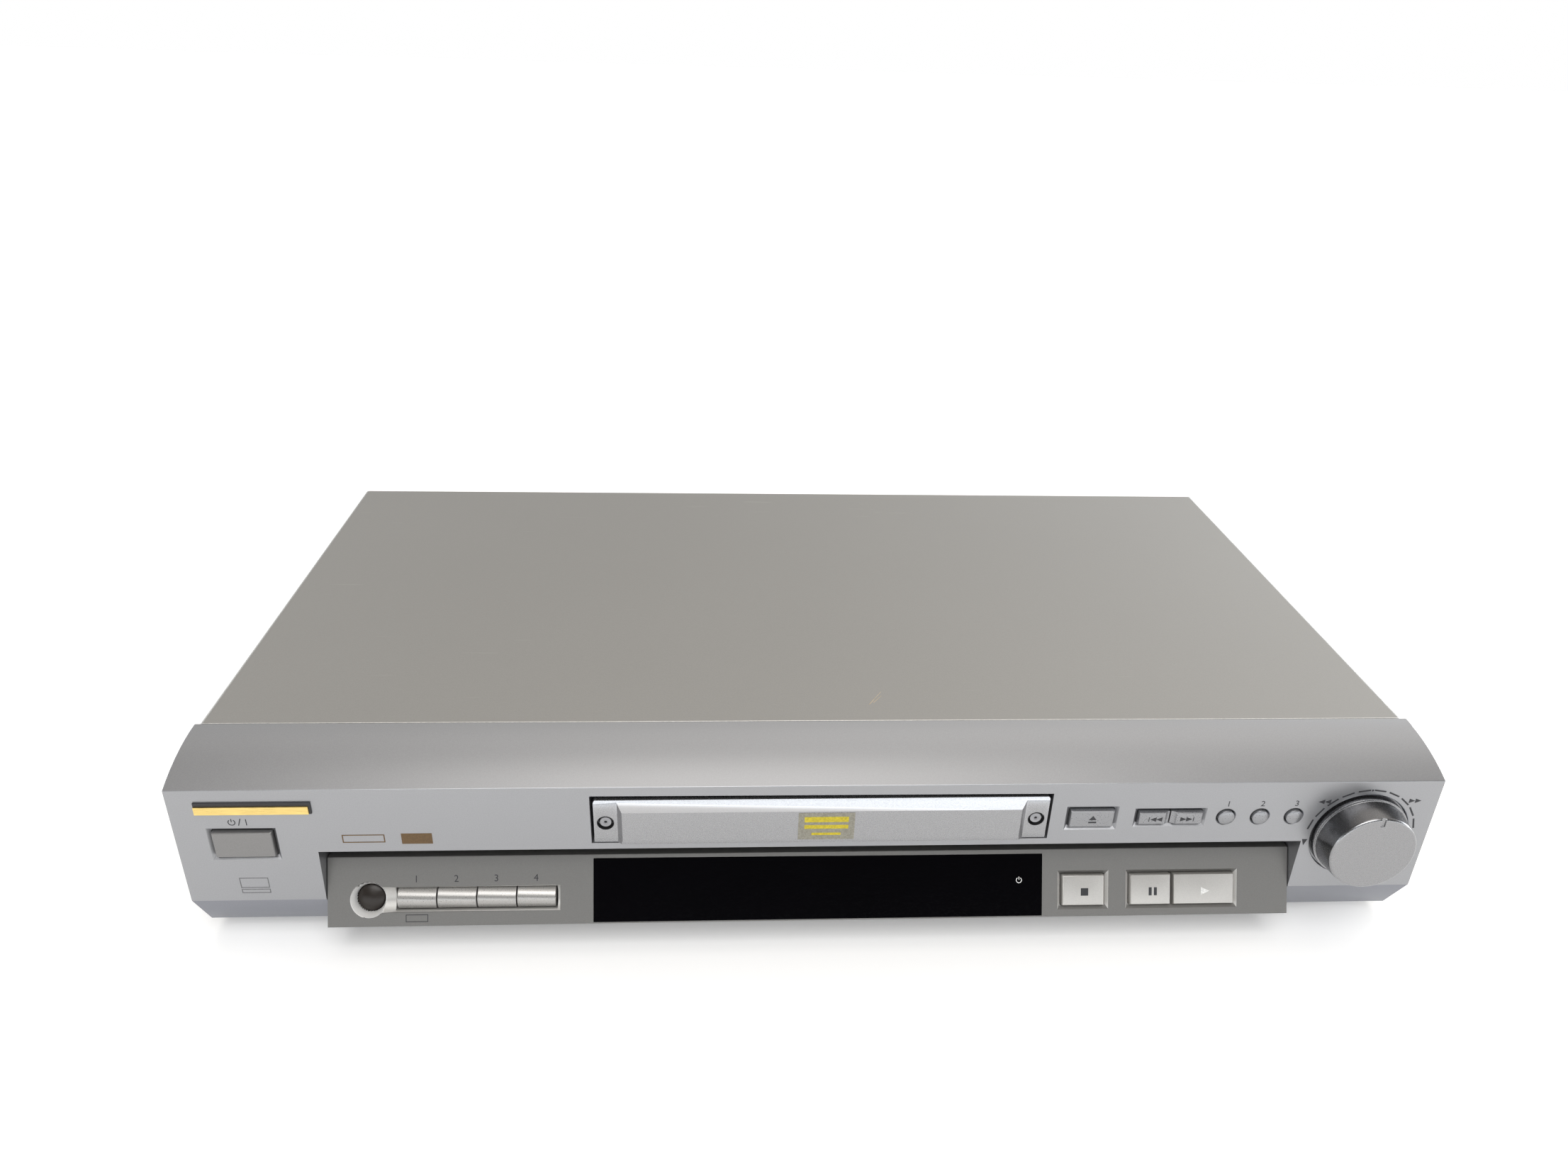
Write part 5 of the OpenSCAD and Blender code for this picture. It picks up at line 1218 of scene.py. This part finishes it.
@dataclass
class Hardware:
    """Recessed screw heads on the case, and the coloured faces of the phono jacks; sizes in mm."""

    solids: Solids
    # (radius, height) pairs: a pan head on its underside, and the sleeve inside a jack
    head_profile: Pairs = (
        (0.0, 1.85), (1.2, 1.8), (2.1, 1.55), (2.6, 1.1), (2.8, 0.5), (2.8, 0.0), (0.0, 0.0))
    collar_profile: Pairs = (
        (1.75, 0.0), (3.35, 0.0), (3.55, -0.25), (3.55, -1.0), (1.75, -1.0), (1.75, 0.0))
    recess: Triple = (3.0, 0.55, 1.4)  # each wedge's length, thickness and height
    recess_middle: float = 1.75
    head_height: float = 1.8
    collar_proud: float = 0.12
    near: float = 0.1  # a screw this close to a side belongs to it

    def build(self) -> None:
        """Puts a coloured face on each jack and a head on each screw of the case."""
        self.jack_faces()
        self.screw_heads()

    def head(self) -> Object:
        """Makes a pan head with a cross recess, its underside at the origin.

        Returns:
            The head, which is removed once it is copied.
        """
        head = add_object("screw_head", turned("screw_head", self.head_profile, 24), SCREW_STEEL)
        long, thin, deep = self.recess
        work = bmesh.new()
        for size in ((long, thin, deep), (thin, long, deep)):
            made = bmesh.ops.create_cube(work, size=1.0)["verts"]
            bmesh.ops.scale(work, vec=Vector(size) * MM, verts=made)
            bmesh.ops.translate(work, vec=(0, 0, self.recess_middle * MM), verts=made)
        cutter = add_object("screw_cutter", mesh_of("screw_cutter", work))
        cut = head.modifiers.new("recess", "BOOLEAN")
        cut.object = cutter
        cut.solver = "EXACT"
        cut.use_self = True
        bake(head)
        bpy.data.objects.remove(cutter)
        return head

    def jack_faces(self) -> None:
        """Puts a coloured face on the end of each phono jack, grown from one collar."""
        jacks = self.solids.nodes["av_jacks"].data
        rear = extent(v.co for v in jacks.vertices)[1].y
        finishes: dict[Finish, Seats] = {}
        for column, block in enumerate(sorted(islands(jacks), key=lambda block: extent(block)[0].x)):
            ends = [v for v in block if v.y > rear - self.near / 2 * MM]
            low, high = extent(ends)
            middle = (low.z + high.z) / 2
            rows = [v for v in ends if v.z < middle], [v for v in ends if v.z > middle]
            for colours, picked in zip(JACK_COLOURS, rows):
                low, high = extent(picked)
                centre = (low + high) / 2
                centre.y = rear + self.collar_proud * MM
                finishes.setdefault(colours[column % 4], []).append((centre, Vector((0, 1, 0))))
        collar = add_object("jack_collar", turned("jack_collar", self.collar_profile, 28))
        for finish, seats in finishes.items():
            self.solids.mount(stand(finish.name + "_faces", collar, seats, finish), "av_jacks")
        bpy.data.objects.remove(collar)

    def screw_heads(self) -> None:
        """Stands a recessed head on each screw of the case."""
        screws = self.solids.nodes["case_screws"].data
        side, rear, _ = extent(v.co for v in screws.vertices)[1]
        seats: Seats = []
        for island in islands(screws):
            low, high = extent(island)
            seat = (low + high) / 2
            if min(side - high.x, side + low.x) < self.near * MM:
                outward = Vector((math.copysign(1.0, seat.x), 0, 0))
                seat.x = outward.x * side
            elif rear - high.y < self.near * MM:
                outward = Vector((0, 1, 0))
                seat.y = rear
            else:
                outward = Vector((0, 0, -1))
                seat.z = low.z
            seats.append((seat - outward * (self.head_height * MM), outward))
        head = self.head()
        piece = stand("case_screw_heads", head, seats, SCREW_STEEL)
        bpy.data.objects.remove(head)
        self.solids.mount(piece, "case_screws", instead=True)


# ---------------------------------------------------------------------------- studio


class Sky(Tree):
    """The world's shader tree under construction."""

    top_level = 4.0

    def step(self, value: NodeSocket, start: float, end: float) -> NodeSocket:
        """A smooth step from 0 at start to 1 at end."""
        return self.remap(value, start, end, interpolation_type="SMOOTHSTEP")

    def profile(self, value: NodeSocket, levels: Pairs) -> NodeSocket:
        """Draws a smooth curve.

        Args:
            value: Where it is read.
            levels: The (value, level) pairs that it passes through.

        Returns:
            The level's socket.
        """
        ramp = self.node("ValToRGB", {0: value})
        ramp.color_ramp.interpolation = "EASE"
        stops = ramp.color_ramp.elements
        while len(stops) < len(levels):
            stops.new(0.5)
        for stop, (place, level) in zip(stops, levels):
            stop.position = place
            stop.color = (*[level / self.top_level] * 3, 1)
        return self.sum("MULTIPLY", ramp.outputs["Color"], self.top_level)

    def curve(self, value: NodeSocket, terms: Pair) -> NodeSocket:
        """1 plus a slope and a curve in the value, and never less than 0.15."""
        bent = self.sum("ADD", terms[0], self.sum("MULTIPLY", terms[1], value))
        return self.sum("MAXIMUM", 0.15, self.sum("ADD", 1.0, self.sum("MULTIPLY", value, bent)))

    def rest(self, share: NodeSocket) -> NodeSocket:
        """What is left of 1 beside a share."""
        return self.sum("SUBTRACT", 1.0, share)


@dataclass
class Studio:
    """Floor, lamp, world and camera."""

    lamp_power: float = 11.0
    lamp_place: Triple = (0.0, -0.9, 1.2)
    lamp_aim: Triple = (0.0, -0.05, 0.05)
    lamp_size: Pair = (1.2, 0.7)
    # light by height above the horizon (its sine), in front of the object and behind it
    front_levels: Pairs = (
        (0.0, 2.9), (0.1, 2.9), (0.14, 0.15), (0.4, 0.12), (0.62, 0.5), (0.85, 1.2), (0.94, 2.3),
        (1.0, 2.3),
    )
    rear_levels: Pairs = (
        (0.0, 1.2), (0.1, 1.1), (0.35, 0.55), (0.52, 0.66), (0.74, 1.4), (0.88, 0.85), (0.97, 2.1),
        (1.0, 2.3),
    )
    # how that light changes from side to side: a slope and a curve
    front_sides: Pair = (0.1, -13.0)
    rear_sides: Pair = (0.35, -3.5)
    rear_slant: Pair = (1.5, 8.0)
    low_light: Colour = (0.93, 0.965, 1.0)
    high_light: Colour = (1.0, 0.96, 0.905)
    # heights (sines) between which the white backdrop ends for polished faces
    backdrop_top: Pair = (0.14, 0.1)
    floor_reach: float = 6.0
    floor_glow: float = 0.26
    # metres from the origin between which the floor turns to plain white
    floor_fade: Pair = (0.5, 1.3)
    floor_shadow: float = 0.92
    # the camera's lens, its place and its axes
    lens: float = 26.04
    eye: Triple = (-36.17, -304.80, 301.23)  # in mm, from the fascia's face
    right: Triple = (0.99826, -0.05132, 0.02905)
    down: Triple = (0.00228, -0.45869, -0.88859)
    ahead: Triple = (0.05893, 0.88711, -0.45778)

    def build(self, datum: Datum) -> None:
        """Sets up everything round the object.

        Args:
            datum: The front's faces.
        """
        self.camera(datum)
        self.floor()
        self.world()
        self.lamp()
        bpy.context.scene.view_settings.view_transform = "Standard"

    def camera(self, datum: Datum) -> None:
        """Sets the camera at the viewing angle.

        Args:
            datum: The front's faces.
        """
        data = bpy.data.cameras.new("view")
        data.lens = self.lens
        data.sensor_width = 36.0
        data.clip_start = 0.01
        data.clip_end = 50.0
        camera = add_object("view", data)
        axes = Matrix((self.right, [-c for c in self.down], [-c for c in self.ahead])).transposed()
        place = Vector(self.eye) * MM + Vector((0, datum.fascia.origin.y, 0))
        camera.matrix_world = Matrix.Translation(place) @ axes.to_4x4()
        bpy.context.scene.camera = camera

    def floor(self) -> None:
        """A pale floor that the camera sees as white, with the object's shadow left on it."""
        shader = Shader("floor_pale")
        path = shader.node("LightPath").outputs
        direct = shader.sum("MAXIMUM", path["Is Camera Ray"], path["Is Transmission Ray"])
        direct = shader.sum("MAXIMUM", direct, path["Is Glossy Ray"])
        grey = shader.blend(shader.remap(shader.noise(3.0)), (0.62,) * 3, (0.64,) * 3)
        distance = shader.node("VectorMath", {0: shader.place}, operation="LENGTH").outputs["Value"]
        glow = shader.remap(distance, *self.floor_fade, self.floor_glow, 1.0)
        shader.set(
            Roughness=0.9, Specular_IOR_Level=0.1, Emission_Color=(1, 1, 1),
            Base_Color=shader.blend(direct, grey, (self.floor_shadow,) * 3),
            Emission_Strength=shader.sum("MULTIPLY", direct, glow),
        )
        mesh = bpy.data.meshes.new("floor")
        signs = ((-1, -1), (1, -1), (1, 1), (-1, 1))
        mesh.from_pydata([(x * self.floor_reach, y * self.floor_reach, 0) for x, y in signs], [], [range(4)])
        mesh.materials.append(shader.material)
        add_object("floor", mesh)

    def world(self) -> None:
        """A soft room: white at the horizon, bright overhead, dim between them in front.

        The camera, and what it sees through glass, meets plain white there. Polished faces
        meet that white up to the backdrop's height, and the room above it.
        """
        world = bpy.data.worlds.new("room")
        bpy.context.scene.world = world
        world.use_nodes = True
        world.node_tree.nodes.clear()
        sky = Sky(world.node_tree)
        x, y, z = sky.node("SeparateXYZ", {0: sky.node("TexCoord").outputs["Generated"]}).outputs
        side = sky.sum("MULTIPLY", x, z)
        front = sky.sum("MULTIPLY", sky.profile(z, self.front_levels), sky.curve(side, self.front_sides))
        slant = sky.curve(sky.sum("MULTIPLY", x, sky.rest(z)), self.rear_slant)
        sides = sky.sum("MULTIPLY", sky.curve(side, self.rear_sides), slant)
        rear = sky.sum("MULTIPLY", sky.profile(z, self.rear_levels), sides)
        facing = sky.step(y, 0.35, -0.35)
        front, rear = sky.sum("MULTIPLY", front, facing), sky.sum("MULTIPLY", rear, sky.rest(facing))
        level = sky.sum("ADD", front, rear)
        tint = sky.blend(sky.step(z, 0.3, 0.6), self.low_light, self.high_light)
        path = sky.node("LightPath").outputs
        seen = sky.sum("MAXIMUM", path["Is Camera Ray"], path["Is Transmission Ray"])
        mirrored = sky.sum("MULTIPLY", path["Is Glossy Ray"], sky.step(z, *self.backdrop_top))
        level = sky.sum("MULTIPLY", sky.sum("MAXIMUM", level, mirrored), sky.rest(seen))
        room = sky.node("Background", {
            "Color": sky.blend(seen, tint, (1, 1, 1)), "Strength": sky.sum("ADD", level, seen),
        })
        sky.node("OutputWorld", {"Surface": room.outputs["Background"]})

    def lamp(self) -> None:
        """One wide soft box over the front."""
        data = bpy.data.lights.new("overhead", "AREA")
        data.shape = "RECTANGLE"
        data.size, data.size_y = self.lamp_size
        data.energy = self.lamp_power
        lamp = add_object("overhead", data)
        lamp.location = self.lamp_place
        lamp.rotation_mode = "QUATERNION"
        aim = Vector(self.lamp_aim) - Vector(self.lamp_place)
        lamp.rotation_quaternion = aim.to_track_quat("-Z", "Y")


def main() -> None:
    """Builds the player's looks in order."""
    logging.basicConfig(level=logging.INFO, format="%(name)s: %(message)s")
    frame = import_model()
    datum = Datum()
    Studio().build(datum)
    solids = Solids(frame)
    solids.dress_all()
    Mouldings(solids).build(datum)
    Prints(solids, datum).build()
    DialScale(datum).build(solids)
    Hardware(solids).build()


if __name__ == "__main__":
    main()
